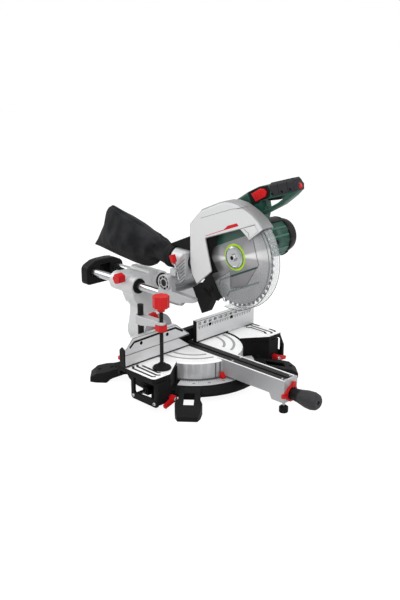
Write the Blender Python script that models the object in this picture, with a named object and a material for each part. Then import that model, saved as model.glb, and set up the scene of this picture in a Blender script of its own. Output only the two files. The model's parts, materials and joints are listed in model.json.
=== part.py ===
"""Sliding mitre saw, modelled as its separate pieces at real size.

Metres, +Z up. +X is the operator's right and +Y points to the rear. The origin is on the bench,
under the turntable's axis, and the fence's face lies on Y = 0. The blade runs in the plane X = 0.
"""

import math

import bmesh
import bpy
from mathutils import Matrix, Vector

# Clearances
GAP = 0.0003
RUNNING = 0.0004
SWEEP = 0.0008

# Base and table
TABLE_TOP = 0.094
DISC_RADIUS = 0.130
POINTER_WIDE = 0.0115
DISC_WALL_FOOT = 0.047
TABLE_PLATE = 0.012
BASE_TOP = 0.042
BASE_RADIUS = 0.182
BASE_SHOULDER = 0.165
BASE_SHELL = 0.006
BASE_EDGE = 0.028
BASE_LIFT = 0.0195
PIVOT_RADIUS = 0.010
SCALE_WIDTH = 0.030
SCALE_THICK = 0.0022
SCALE_HALF_ANGLE = 60.0
SIDE_REACH = 0.240
SIDE_FRONT = 0.105
SIDE_REAR = 0.046
EXTENSION_WIDTH = 0.044
SEAM = SIDE_REACH - EXTENSION_WIDTH
SIDE_OBLIQUE = SEAM - 0.010
GUIDE_REACH = 0.024
WALL = 0.008
LEG_REACH = 0.280
LEG_HALF = 0.027
LEG_TOE_HALF = 0.034
LEG_ANGLE = 42.0
LEG_SHELL = 0.006
LEG_WINDOW_LENGTH, LEG_WINDOW_WIDTH = 0.050, 0.0255
BRIDGE_FRONT = 0.029
BRIDGE_DEPTH = 0.018
BRIDGE_RISE = 0.033

# Table extensions
FRAME_THICK = 0.008
FRAME_BAR = 0.010
FRAME_LOW = 0.021
FRAME_REAR = 0.019
FRAME_FRONT = 0.114
ROD_RADIUS = 0.005
ROD_HEIGHT = 0.030
ROD_REAR = 0.029
ROD_FRONT = 0.080
ROD_INNER = 0.108
LEVER_RADIUS = 0.0085
LEVER_LENGTH = 0.034
LEVER_X = {-1: 0.012 - SEAM, 1: SEAM + 0.010}
LEVER_PROUD = {-1: 0.0, 1: 0.0045}
LEVER_STEM = 0.004

# Fence
FENCE_THICK = 0.014
FENCE_RISE = 0.061
FENCE_SPLIT = 0.033
UPPER_RISE = 0.073
KERF_RIGHT = 0.009
KERF_LEFT = 0.019
FENCE_CAP = 0.0042
FENCE_LEVER_X = 0.034 - SIDE_REACH
FENCE_LEVER_RISE = 0.020

# Clamp
POST_X = 0.030 - SEAM
POST_Y = FENCE_THICK + 0.0105
POST_RADIUS = 0.0078
POST_TOP = 0.145
SCREW_X = POST_X - 0.010
SCREW_Y = -0.064
SCREW_RADIUS = 0.0052
CLAMP_ARM_LOW, CLAMP_ARM_HIGH = 0.094, 0.123
CLAMP_NUT_LOW, CLAMP_NUT_HIGH = 0.099, 0.1143
CLAMP_ARM_HALF = 0.011
CLAMP_FOOT_RADIUS = 0.024
CLAMP_KNOB_RADIUS = 0.021
CLAMP_KNOB_LOW, CLAMP_KNOB_HIGH = 0.149, 0.190

# Turntable arm
ARM_HALF = 0.025
ARM_END = 0.333
ARM_DEEP_START = 0.286
ARM_DEPTH = 0.043
ARM_DEEP = 0.058
PLATE_HALF = 0.0195
PLATE_THICK = 0.0075
KERF_HALF = 0.0035
KERF_UNDERCUT = 0.0050
KERF_SUNK = 0.0006
KERF_FRONT = 0.326
KERF_REAR = 0.052
CHANNEL_HALF = 0.014
CHANNEL_DEPTH = 0.030
GRIP_DROP = 0.0365
GRIP_START = 0.3345
GRIP_END = 0.418
GRIP_RADIUS = 0.0225
COLLAR_RADIUS = 0.0200
COLLAR_BORE = 0.0162
WING_REACH = 0.036
LOCK_ROD_RADIUS = 0.004
LOCK_ROD_END = 0.150
FOOT_Y = 0.313
FOOT_RADIUS = 0.0115
FOOT_HEIGHT = 0.017
FOOT_STUD = 0.0035

# Bevel arm and rails
FLANGE_FRONT = DISC_RADIUS + 0.0125
FLANGE_REAR = FLANGE_FRONT + 0.0225
FLANGE_RADIUS = 0.052
BEVEL_DISC = 0.0465
BEVEL_REAR = FLANGE_REAR + 0.057
NECK_HALF = 0.036
BEVEL_BOLT_RADIUS = 0.009
RAIL_X = 0.0423
RAIL_RISE = 0.134
RAIL_RADIUS = 0.0115
RAIL_FRONT = 0.030
RAIL_REAR = 0.392
HOUSING_FRONT = FLANGE_REAR + 0.008
HOUSING_REAR = HOUSING_FRONT + 0.097
HOUSING_TUBE = 0.0265
BUSH_RADIUS = 0.0205
BUSH_LENGTH = 0.024
CAP_FRONT, CAP_REAR = 0.372, 0.402
CAP_HALF = 0.067
CAP_LOW, CAP_HIGH = 0.093, 0.167
KNOB_RADIUS = 0.0145
KNOB_STEM = 0.0035
RAIL_KNOB_Y = HOUSING_FRONT + 0.032
RAIL_KNOB_RISE = 0.158

# Head bracket and pivot
PIVOT_Y, PIVOT_RISE = 0.052, 0.173
PIN_RADIUS = 0.008
BARREL_RADIUS = 0.020
EAR_IN, EAR_OUT = 0.040, 0.057
HUB_RADIUS = 0.022
BRACKET_FRONT, BRACKET_REAR = 0.022, 0.080
BRACKET_LOW, BRACKET_HIGH = 0.112, 0.150
BRACKET_CHAMFER = 0.0150
TONGUE_TOP = 0.1535
ARM_CAST_HALF = 0.034
STOP_X = -0.046
STOP_LUG_OUT = 0.053
STOP_RADIUS = 0.003
STOP_LOW = (0.0095, TABLE_TOP + 0.187)
STOP_HIGH = (0.035, TABLE_TOP + 0.249)

# Blade, guard and cover
BLADE_RADIUS = 0.127
BLADE_HALF = 0.0012
BLADE_TEETH = 48
BLADE_Y, BLADE_RISE = -0.145, 0.268
BORE_RADIUS = 0.015
FLANGE_DISC = 0.028
BOLT_RADIUS = 0.004
COVER_HALF = 0.020
COVER_REAR = -0.002
COVER_WALL = 0.003
COVER_FOOT = (-0.027, 0.175)
COVER_LOW = (-0.083, 0.222)
COVER_EDGE = [
    (-0.008, 0.200),
    (COVER_REAR, 0.230),
    (COVER_REAR, 0.333),
    (-0.044, 0.376),
    (-0.100, 0.400),
    (-0.122, 0.4075),
    (-0.145, 0.4095),
    (-0.168, 0.4065),
    (-0.1922, 0.3977),
    (-0.2140, 0.3875),
    (-0.2337, 0.3737),
    (-0.2499, 0.3576),
]
COVER_CREASE = 0.0035
COVER_LEFT_WALL = 0.0055
CHAMFER_REAR, CHAMFER_TOP = 0.004, 0.009
COVER_FRONT = [(-0.208, 0.324), (-0.196, 0.262)]
COVER_WINDOW = [
    (-0.2085, 0.3235),
    (-0.176, 0.346),
    (-0.060, 0.304),
    (-0.0755, 0.250),
    (-0.0835, 0.2215),
    (-0.100, 0.190),
    (-0.240, 0.190),
    (-0.240, 0.310),
]
SEAT_LENGTH = 0.012
DEFLECTOR_TIP = [(-0.060, 0.109), (-0.046, 0.102), (-0.012, 0.166)]
DEFLECTOR_INSET = 0.0015
DEFLECTOR_RIGHT = 0.007
GUARD_GAP = 0.0030
GUARD_WALL = 0.0025
GUARD_HALF = 0.0135
GUARD_REAR, GUARD_FRONT = -80.0, -235.0
GUARD_WINDOW = [
    (-0.204, 0.345),
    (-0.214, 0.325),
    (-0.226, 0.287),
    (-0.233, 0.268),
    (-0.229, 0.261),
    (-0.194, 0.207),
    (-0.142, 0.189),
    (-0.142, 0.219),
    (-0.140, 0.234),
    (-0.089, 0.198),
    (-0.094, 0.191),
    (-0.121, 0.151),
]
BOSS_RADIUS = 0.021

# Motor and gears
GEAR_MODULE = 0.001
GEAR_TEETH = 44
PINION_TEETH = 10
GEAR_LEFT, GEAR_RIGHT = 0.030, 0.040
GEARBOX_LEFT, GEARBOX_RIGHT = 0.0205, 0.060
SPINDLE_RADIUS = 0.008
MOTOR_RADIUS = 0.050
MOTOR_SHELL = 0.005
MOTOR_END = 0.148
END_CAP_RIGHT = 0.186
SHAFT_RADIUS = 0.005
CORE_RADIUS = 0.027
CORE_LEFT, CORE_RIGHT = 0.085, 0.121
STATOR_INNER = 0.0295
MOTOR_RISE = BLADE_RISE + GEAR_MODULE * (GEAR_TEETH + PINION_TEETH) / 2

# Handle
HANDLE_X = 0.045
HANDLE_HALF = 0.018
HANDLE_ROUND = 0.007
GRIP_SKIN = 0.0025
HANDLE_OUTLINE = [
    (-0.112, 0.372),
    (-0.190, 0.3715),
    (-0.258, 0.409),
    (-0.292, 0.436),
    (-0.306, 0.451),
    (-0.305, 0.464),
    (-0.289, 0.475),
    (-0.189, 0.445),
    (-0.155, 0.428),
    (-0.117, 0.404),
]
HANDLE_NECK = [(-0.105, 0.335), (-0.112, 0.396), (-0.180, 0.420), (-0.189, 0.374), (-0.180, 0.335)]
FINGER_GAP = [(-0.200, 0.412), (-0.206, 0.388), (-0.254, 0.4155), (-0.283, 0.4385), (-0.228, 0.4215)]
GRIP_ZONE = [(-0.238, 0.429), (-0.2925, 0.4465), (-0.300, 0.505), (-0.212, 0.505), (-0.2295, 0.444)]
LOCK_OFF_OUTLINE = [
    (-0.171, 0.427),
    (-0.188, 0.4075),
    (-0.2185, 0.4245),
    (-0.2215, 0.437),
    (-0.2145, 0.444),
    (-0.200, 0.4435),
]
TRIGGER_SLOT = [(-0.204, 0.4125), (-0.264, 0.426), (-0.268, 0.4435), (-0.205, 0.432)]
TRIGGER_OUTLINE = [
    (-0.209, 0.4185),
    (-0.222, 0.415),
    (-0.248, 0.4205),
    (-0.265, 0.4335),
    (-0.264, 0.437),
    (-0.216, 0.4245),
]
TRIGGER_PIVOT = (-0.264, TABLE_TOP + 0.436)
LOCK_OFF_POINT = (-0.194, TABLE_TOP + 0.422)

# Dust path
CHUTE_RISE = 0.230
CHUTE_RADIUS = 0.027
CHUTE_WALL = 0.004
CHUTE_REAR = 0.062

T = TABLE_TOP
DEG = math.pi / 180
X, Y, Z = "XYZ"
FINISHES = {}
BODIES = {}


# Outlines

def arc(centre, radius, start, end, steps):
    """Points on an arc, with angles in degrees."""
    points = []
    for i in range(steps + 1):
        angle = (start + (end - start) * i / steps) * DEG
        points.append((centre[0] + radius * math.cos(angle), centre[1] + radius * math.sin(angle)))
    return points


def circle(centre, radius, sides=24):
    return arc(centre, radius, 0, 360, sides)[:-1]


def hole(centre, radius, sides=24):
    """A circle whose flats, not its corners, lie at the radius, so that a round pin of it fits."""
    return circle(centre, radius / math.cos(math.pi / sides), sides)


def rounded(corners, steps=4):
    """The outline with each (a, b, r) corner turned into an arc of radius r."""
    points = []
    count = len(corners)
    for i, corner in enumerate(corners):
        if len(corner) == 2:
            points.append(corner)
            continue
        here = Vector(corner[:2])
        back = (Vector(corners[i - 1][:2]) - here).normalized()
        ahead = (Vector(corners[(i + 1) % count][:2]) - here).normalized()
        half = back.angle(ahead) / 2
        reach = corner[2] / math.tan(half)
        middle = here + (back + ahead).normalized() * (corner[2] / math.sin(half))
        first = here + back * reach - middle
        turn = (here + ahead * reach - middle).angle_signed(first)
        for k in range(steps + 1):
            angle = turn * k / steps
            spun = Matrix.Rotation(angle, 2) @ first
            points.append((middle.x + spun.x, middle.y + spun.y))
    return points


def box_outline(low, high):
    return [(low[0], low[1]), (high[0], low[1]), (high[0], high[1]), (low[0], high[1])]


def raised(points, rise):
    """An outline with its second coordinate lifted."""
    return [(point[0], point[1] + rise, *point[2:]) for point in points]


def inset_path(points, distances):
    """An open outline moved sideways by a distance at each point, to its left as it runs."""
    moved = []
    for i, point in enumerate(points):
        here = Vector(point)
        before = here - Vector(points[i - 1]) if i else Vector(points[1]) - here
        after = Vector(points[i + 1]) - here if i < len(points) - 1 else before
        normals = [Vector((-run.y, run.x)).normalized() for run in (before, after)]
        mid = (normals[0] + normals[1]).normalized()
        moved.append(tuple(here + mid * (distances[i] / mid.dot(normals[0]))))
    return moved


# Solids

def new_object(bm, name="solid"):
    bmesh.ops.recalc_face_normals(bm, faces=bm.faces)
    mesh = bpy.data.meshes.new(name)
    bm.to_mesh(mesh)
    bm.free()
    obj = bpy.data.objects.new(name, mesh)
    bpy.context.scene.collection.objects.link(obj)
    return obj


def along(axis, a, b, t):
    """A point from its two coordinates across an axis and its place along it."""
    return {X: (t, a, b), Y: (a, t, b), Z: (a, b, t)}[axis]


def prism(outline, axis, low, high):
    bm = bmesh.new()
    ends = [[bm.verts.new(along(axis, a, b, t)) for a, b in outline] for t in (low, high)]
    count = len(outline)
    bm.faces.new(ends[0])
    bm.faces.new(ends[1])
    for i in range(count):
        k = (i + 1) % count
        bm.faces.new((ends[0][i], ends[0][k], ends[1][k], ends[1][i]))
    return new_object(bm)


def loft(rings):
    """A closed solid through rings of points, each ring with as many points."""
    bm = bmesh.new()
    loops = [[bm.verts.new(point) for point in ring] for ring in rings]
    count = len(rings[0])
    bm.faces.new(loops[0])
    bm.faces.new(loops[-1])
    for one, two in zip(loops, loops[1:]):
        for i in range(count):
            k = (i + 1) % count
            bm.faces.new((one[i], one[k], two[k], two[i]))
    return new_object(bm)


def turned(profile, axis, centre, sides=24, ring=False):
    """A profile of (radius, place along the axis) turned about an axis; a ring's profile closes on itself."""
    bm = bmesh.new()
    loops = []
    for radius, t in profile:
        if radius == 0:
            loops.append([bm.verts.new(along(axis, centre[0], centre[1], t))])
            continue
        points = circle(centre, radius, sides)
        loops.append([bm.verts.new(along(axis, a, b, t)) for a, b in points])
    pairs = list(zip(loops, loops[1:]))
    if ring:
        pairs.append((loops[-1], loops[0]))
    elif len(loops[0]) > 1:
        bm.faces.new(loops[0])
    if not ring and len(loops[-1]) > 1:
        bm.faces.new(loops[-1])
    for one, two in pairs:
        for i in range(sides):
            k = (i + 1) % sides
            corners = [one[i % len(one)], one[k % len(one)], two[k % len(two)], two[i % len(two)]]
            different = list(dict.fromkeys(corners))
            if len(different) > 2:
                bm.faces.new(different)
    return new_object(bm)


def rod(axis, centre, radius, low, high, sides=20):
    return prism(circle(centre, radius, sides), axis, low, high)


def bore(axis, centre, radius, low, high, sides=24):
    return prism(hole(centre, radius, sides), axis, low, high)


def box(low, high):
    return prism(box_outline((low[0], low[1]), (high[0], high[1])), Z, low[2], high[2])


def combine(target, other, operation):
    """Applies a Boolean of another solid, which is used up."""
    modifier = target.modifiers.new(operation, "BOOLEAN")
    modifier.operation = operation
    modifier.solver = "EXACT"
    modifier.object = other
    graph = bpy.context.evaluated_depsgraph_get()
    mesh = bpy.data.meshes.new_from_object(target.evaluated_get(graph))
    target.modifiers.clear()
    target.data = mesh
    bpy.data.objects.remove(other)
    return target


def joined(first, *others):
    for other in others:
        combine(first, other, "UNION")
    return first


def cut(target, *others):
    for other in others:
        combine(target, other, "DIFFERENCE")
    return target


def turn_about(obj, axis, degrees, point=(0, 0, 0)):
    """Turns a solid's mesh about a world axis through a point."""
    there = Matrix.Translation(Vector(point))
    obj.data.transform(there @ Matrix.Rotation(degrees * DEG, 4, axis) @ there.inverted())
    return obj


def mirrored(obj):
    """Mirrors a solid's mesh in the plane X = 0."""
    obj.data.transform(Matrix.Diagonal((-1, 1, 1, 1)))
    obj.data.flip_normals()
    return obj


# Scene

def clear_scene():
    for obj in list(bpy.data.objects):
        bpy.data.objects.remove(obj)


def finish(name, colour, roughness, metallic=0.0, alpha=1.0):
    material = bpy.data.materials.new(name)
    material.use_nodes = True
    shader = material.node_tree.nodes["Principled BSDF"]
    shader.inputs["Base Color"].default_value = (*colour, 1)
    shader.inputs["Roughness"].default_value = roughness
    shader.inputs["Metallic"].default_value = metallic
    shader.inputs["Alpha"].default_value = alpha
    FINISHES[name] = material


def body(name, point, parent=None):
    """An empty on a body's joint, which its pieces are parented to."""
    empty = bpy.data.objects.new("joint_" + name, None)
    bpy.context.scene.collection.objects.link(empty)
    base = Vector((0, 0, 0))
    if parent:
        empty.parent = BODIES[parent][0]
        base = BODIES[parent][1]
    empty.location = Vector(point) - base
    BODIES[name] = (empty, Vector(point))


def piece(obj, name, body_name, finish_name):
    empty, point = BODIES[body_name]
    obj.name = name
    obj.data.name = name
    obj.data.transform(Matrix.Translation(-point))
    obj.parent = empty
    obj.data.materials.clear()
    obj.data.materials.append(FINISHES[finish_name])
    obj.data.shade_smooth()
    obj.data.set_sharp_from_angle(angle=35 * DEG)


def make_finishes():
    finish("black_cast", (0.02, 0.02, 0.022), 0.55)
    finish("black_plastic", (0.015, 0.015, 0.016), 0.45)
    finish("black_rubber", (0.02, 0.02, 0.02), 0.8)
    finish("bare_aluminium", (0.62, 0.63, 0.65), 0.35, 1.0)
    finish("silver_paint", (0.55, 0.56, 0.58), 0.4, 0.6)
    finish("light_grey", (0.72, 0.73, 0.74), 0.4)
    finish("steel", (0.6, 0.6, 0.62), 0.25, 1.0)
    finish("red_plastic", (0.6, 0.02, 0.02), 0.4)
    finish("green_plastic", (0.01, 0.09, 0.06), 0.45)
    finish("dark_grip", (0.05, 0.05, 0.055), 0.7)
    finish("clear_plastic", (0.8, 0.85, 0.85), 0.1, 0.0, 0.3)
    finish("black_fabric", (0.02, 0.02, 0.022), 0.9)
    finish("copper_winding", (0.5, 0.2, 0.08), 0.4, 1.0)


def make_bodies():
    blade_point = (0, BLADE_Y, T + BLADE_RISE)
    pivot_point = (0, PIVOT_Y, T + PIVOT_RISE)
    body("base", (0, 0, 0))
    for side, sign in (("left", -1), ("right", 1)):
        body(side + "_extension", (sign * SIDE_REACH, -ROD_REAR, ROD_HEIGHT), "base")
        body(side + "_extension_lever", (LEVER_X[sign], -SIDE_FRONT, ROD_HEIGHT), "base")
    body("upper_fence", (-SIDE_REACH, 0, T + FENCE_SPLIT), "base")
    body("fence_lever", (FENCE_LEVER_X, FENCE_THICK, T + FENCE_LEVER_RISE), "base")
    body("clamp", (POST_X, POST_Y, T), "base")
    body("clamp_screw", (SCREW_X, SCREW_Y, T), "clamp")
    body("clamp_knob", (SCREW_X, SCREW_Y, T + CLAMP_KNOB_LOW), "clamp_screw")
    body("turntable", (0, 0, T), "base")
    body("mitre_grip", (0, -GRIP_START, T - GRIP_DROP), "turntable")
    body("detent_lever", (0, -ARM_END, T - ARM_DEEP), "turntable")
    body("arm_foot", (0, -FOOT_Y, FOOT_HEIGHT), "turntable")
    body("arm_foot_knob", (0, -FOOT_Y, 0), "arm_foot")
    body("bevel_arm", (0, FLANGE_REAR, T), "turntable")
    body("bevel_lever", (0, FLANGE_FRONT, T), "turntable")
    body("rail_lock", (-RAIL_X, RAIL_KNOB_Y, T + RAIL_KNOB_RISE), "bevel_arm")
    body("slide", (0, RAIL_REAR, T + RAIL_RISE), "bevel_arm")
    body("head", pivot_point, "slide")
    body("blade", blade_point, "head")
    body("armature", (0, BLADE_Y, T + MOTOR_RISE), "head")
    body("guard", blade_point, "head")
    body("trigger", (HANDLE_X, *TRIGGER_PIVOT), "head")
    body("lock_off", (HANDLE_X - HANDLE_HALF, *LOCK_OFF_POINT), "head")
    body("depth_stop", (STOP_X, *STOP_LOW), "head")


# Base

def leg(front):
    """One hollow leg along +X, widening to its flat foot, with a window in a front leg."""
    top = BASE_TOP - 0.002
    under = BASE_LIFT + 0.001
    outline = [
        (BASE_SHOULDER - 0.012, under),
        (BASE_SHOULDER - 0.012, top),
        (BASE_SHOULDER + 0.020, top),
        (LEG_REACH - 0.018, 0.026),
        (LEG_REACH, 0.013),
        (LEG_REACH, 0),
        (LEG_REACH - 0.045, 0),
        (LEG_REACH - 0.055, 0.008),
        (BASE_RADIUS + 0.006, under),
    ]
    edge = [
        (BASE_SHOULDER - 0.013, LEG_HALF),
        (LEG_REACH - 0.062, LEG_HALF),
        (LEG_REACH - 0.042, LEG_TOE_HALF),
        (LEG_REACH - 0.016, LEG_TOE_HALF - 0.003),
        (LEG_REACH + 0.001, LEG_TOE_HALF - 0.010),
    ]
    plan = edge + [(a, -b) for a, b in reversed(edge)]
    solid = prism(outline, Y, -LEG_TOE_HALF - 0.001, LEG_TOE_HALF + 0.001)
    combine(solid, prism(plan, Z, -0.01, BASE_TOP), "INTERSECT")
    pocket = [
        (BASE_RADIUS + 0.012, -0.01),
        (BASE_RADIUS + 0.012, top - LEG_SHELL),
        (LEG_REACH - 0.022, 0.026 - LEG_SHELL),
        (LEG_REACH - LEG_SHELL, 0.009),
        (LEG_REACH - LEG_SHELL, -0.01),
    ]
    cut(solid, prism(pocket, Y, LEG_SHELL - LEG_HALF, LEG_HALF - LEG_SHELL))
    if front:
        start = BASE_RADIUS + 0.013
        half = LEG_WINDOW_WIDTH / 2
        cut(solid, box((start, -half, 0), (start + LEG_WINDOW_LENGTH, half, top + 0.01)))
    return solid


def side_plate_outline():
    """The right side table seen from above, with its edge round the turntable."""
    clear = DISC_RADIUS + SWEEP
    rear_angle = math.asin(SIDE_REAR / clear) / DEG
    front_angle = -math.asin(0.056 / clear) / DEG
    edge = arc((0, 0), clear / math.cos(2 * DEG), front_angle, rear_angle, 9)
    return edge + [
        (SIDE_REACH, SIDE_REAR),
        (SIDE_REACH, 0),
        (SEAM - GAP, 0),
        (SEAM - GAP, -SIDE_FRONT),
        (SIDE_OBLIQUE, -SIDE_FRONT),
    ]


def side_table():
    """The right side table: plate, front wall, rear rib, web to the bowl and rod guides."""
    under = T - TABLE_PLATE
    plate = prism(side_plate_outline(), Z, under, T)
    inner = (DISC_RADIUS - 0.002, -0.060)
    wall = [
        (SEAM - GAP, -SIDE_FRONT),
        (SIDE_OBLIQUE, -SIDE_FRONT),
        inner,
        (inner[0] - 0.004, inner[1] + WALL),
        (SIDE_OBLIQUE - 0.003, WALL - SIDE_FRONT),
        (SEAM - GAP, WALL - SIDE_FRONT),
    ]
    front = prism(wall, Z, BASE_LIFT, under + 0.001)
    end = SIDE_REACH - FRAME_THICK - 0.0065
    toe = box((SEAM - 0.004, -SIDE_FRONT, BASE_LIFT + 0.001), (end, WALL - SIDE_FRONT, under - 0.002))
    rib = box(
        (DISC_RADIUS + 0.006, SIDE_REAR - 0.008, under - 0.020),
        (SIDE_REACH - 0.012, SIDE_REAR, under + 0.001),
    )
    outer = DISC_RADIUS + SWEEP + WALL + 0.006
    web = arc((0, 0), DISC_RADIUS + 0.005, -27, 12, 5) + arc((0, 0), outer, 12, -27, 5)
    web = prism(web, Z, BASE_TOP - 0.003, under + 0.001)
    guides = []
    for y, x in ((ROD_REAR, SIDE_OBLIQUE + 0.016), (ROD_FRONT, SEAM + GUIDE_REACH - 0.001)):
        high = ROD_HEIGHT + 0.010
        guides.append(box((BASE_RADIUS - 0.026, -y - 0.010, ROD_HEIGHT - 0.010), (x, 0.010 - y, high)))
    tie = box(
        (SEAM - 0.006, -SIDE_FRONT + 0.002, ROD_HEIGHT - 0.010),
        (SEAM + GUIDE_REACH - 0.002, -ROD_FRONT, ROD_HEIGHT + 0.009),
    )
    return joined(plate, front, toe, rib, web, *guides, tie)


def base_casting():
    bowl = turned(
        [
            (PIVOT_RADIUS + 0.0008, BASE_TOP),
            (BASE_SHOULDER, BASE_TOP),
            (BASE_RADIUS, BASE_EDGE),
            (BASE_RADIUS, BASE_LIFT),
            (BASE_RADIUS - BASE_SHELL, BASE_LIFT),
            (BASE_SHOULDER - BASE_SHELL, BASE_TOP - BASE_SHELL),
            (0.030, BASE_TOP - BASE_SHELL),
            (0.030, BASE_LIFT),
            (PIVOT_RADIUS + 0.0008, BASE_LIFT),
        ],
        Z,
        (0, 0),
        40,
        ring=True,
    )
    for angle, front in (
        (-LEG_ANGLE, True), (180 + LEG_ANGLE, True), (LEG_ANGLE, False), (180 - LEG_ANGLE, False)
    ):
        joined(bowl, turn_about(leg(front), Z, angle))
    joined(bowl, side_table(), mirrored(side_table()))
    span = DISC_RADIUS + 0.022
    low = T + SWEEP
    high = T + BRIDGE_RISE
    foot = DISC_RADIUS + 0.006
    bow = [
        (-span, T - 0.004),
        (-foot, T - 0.004),
        (-foot, low),
        (foot, low),
        (foot, T - 0.004),
        (span, T - 0.004),
    ]
    bow += [(span, high - 0.012), (span - 0.03, high), (0.03 - span, high), (-span, high - 0.012)]
    joined(bowl, prism(bow, Y, BRIDGE_FRONT, BRIDGE_FRONT + BRIDGE_DEPTH))
    for sign in (-1, 1):
        for y in (-ROD_REAR, -ROD_FRONT):
            ends = sorted((sign * (ROD_INNER - 0.004), sign * SIDE_REACH))
            cut(bowl, bore(X, (y, ROD_HEIGHT), ROD_RADIUS + RUNNING, *ends, 16))
        clear = LEVER_STEM + RUNNING
        cut(
            bowl,
            bore(Y, (LEVER_X[sign], ROD_HEIGHT), clear, -SIDE_FRONT - 0.01, WALL + 0.006 - SIDE_FRONT, 12),
        )
    cut(bowl, bore(Z, (POST_X, POST_Y), POST_RADIUS + RUNNING, T - 0.04, T + 0.01, 20))
    piece(bowl, "base_casting", "base", "black_cast")


def mitre_scale():
    inner = DISC_RADIUS + 0.0025
    start, end = 270 - SCALE_HALF_ANGLE, 270 + SCALE_HALF_ANGLE
    outline = arc((0, 0), inner, start, end, 24) + arc((0, 0), inner + SCALE_WIDTH, end, start, 24)
    piece(
        prism(outline, Z, BASE_TOP + GAP, BASE_TOP + SCALE_THICK),
        "mitre_scale_ring",
        "base",
        "bare_aluminium",
    )


# Table extensions

def extension(side, sign):
    """Striped top, end frame with its window, two guide rods and the lock lever of one side."""
    name = side + "_extension"
    top = [
        (SEAM, -GAP - 0.0012),
        (SIDE_REACH, -GAP - 0.0012),
        (SIDE_REACH, -SIDE_FRONT, 0.010),
        (SEAM, -SIDE_FRONT),
    ]
    plate = prism(rounded(top), Z, T - TABLE_PLATE, T)
    face = SIDE_REACH - FRAME_THICK
    outer = [
        (-FRAME_FRONT, FRAME_LOW, 0.006),
        (-FRAME_REAR, FRAME_LOW, 0.008),
        (-FRAME_REAR, T - 0.006),
        (0.006 - SIDE_FRONT, T - 0.006),
        (-FRAME_FRONT, T - TABLE_PLATE - 0.022),
    ]
    window = [
        (FRAME_BAR - FRAME_FRONT, FRAME_LOW + 2 * FRAME_BAR, 0.004),
        (-FRAME_REAR - FRAME_BAR, FRAME_LOW + FRAME_BAR + 0.006, 0.004),
        (-FRAME_REAR - FRAME_BAR, T - TABLE_PLATE - 0.004, 0.004),
        (FRAME_BAR - FRAME_FRONT, T - TABLE_PLATE - 0.004, 0.004),
    ]
    frame = prism(rounded(outer), X, face, SIDE_REACH)
    cut(frame, prism(rounded(window), X, face - 0.01, SIDE_REACH + 0.01))
    joined(frame, plate)
    for y in (-ROD_REAR, -ROD_FRONT):
        cut(frame, bore(X, (y, ROD_HEIGHT), ROD_RADIUS + GAP, face - 0.01, SIDE_REACH - 0.002, 16))
    if sign < 0:
        mirrored(frame)
    piece(frame, name + "_frame", name, "black_cast")
    for place, y in (("rear", -ROD_REAR), ("front", -ROD_FRONT)):
        ends = sorted((sign * ROD_INNER, sign * (SIDE_REACH - 0.0023)))
        piece(rod(X, (y, ROD_HEIGHT), ROD_RADIUS, *ends, 16), f"{name}_rod_{place}", name, "steel")
    front = -SIDE_FRONT - GAP
    stem = rod(Y, (LEVER_X[sign], ROD_HEIGHT), LEVER_STEM, front - 0.004, front + WALL + 0.004, 12)
    proud = front - LEVER_PROUD[sign]
    hub = rod(Y, (LEVER_X[sign], ROD_HEIGHT), LEVER_RADIUS, proud - 0.014, front, 20)
    tip = LEVER_RADIUS * 0.55
    paddle = [(0, LEVER_RADIUS * 0.9), (LEVER_LENGTH, tip), (LEVER_LENGTH, -tip), (0, -LEVER_RADIUS * 0.9)]
    paddle = prism(
        [(LEVER_X[sign] + sign * a, ROD_HEIGHT + b) for a, b in paddle], Y, proud - 0.013, proud - 0.005
    )
    droop = {-1: -22, 1: 12}[sign]
    turn_about(paddle, Y, droop, (LEVER_X[sign], 0, ROD_HEIGHT))
    piece(joined(hub, stem, paddle), name + "_lever", name + "_lever", "red_plastic")


# Fence

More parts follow.
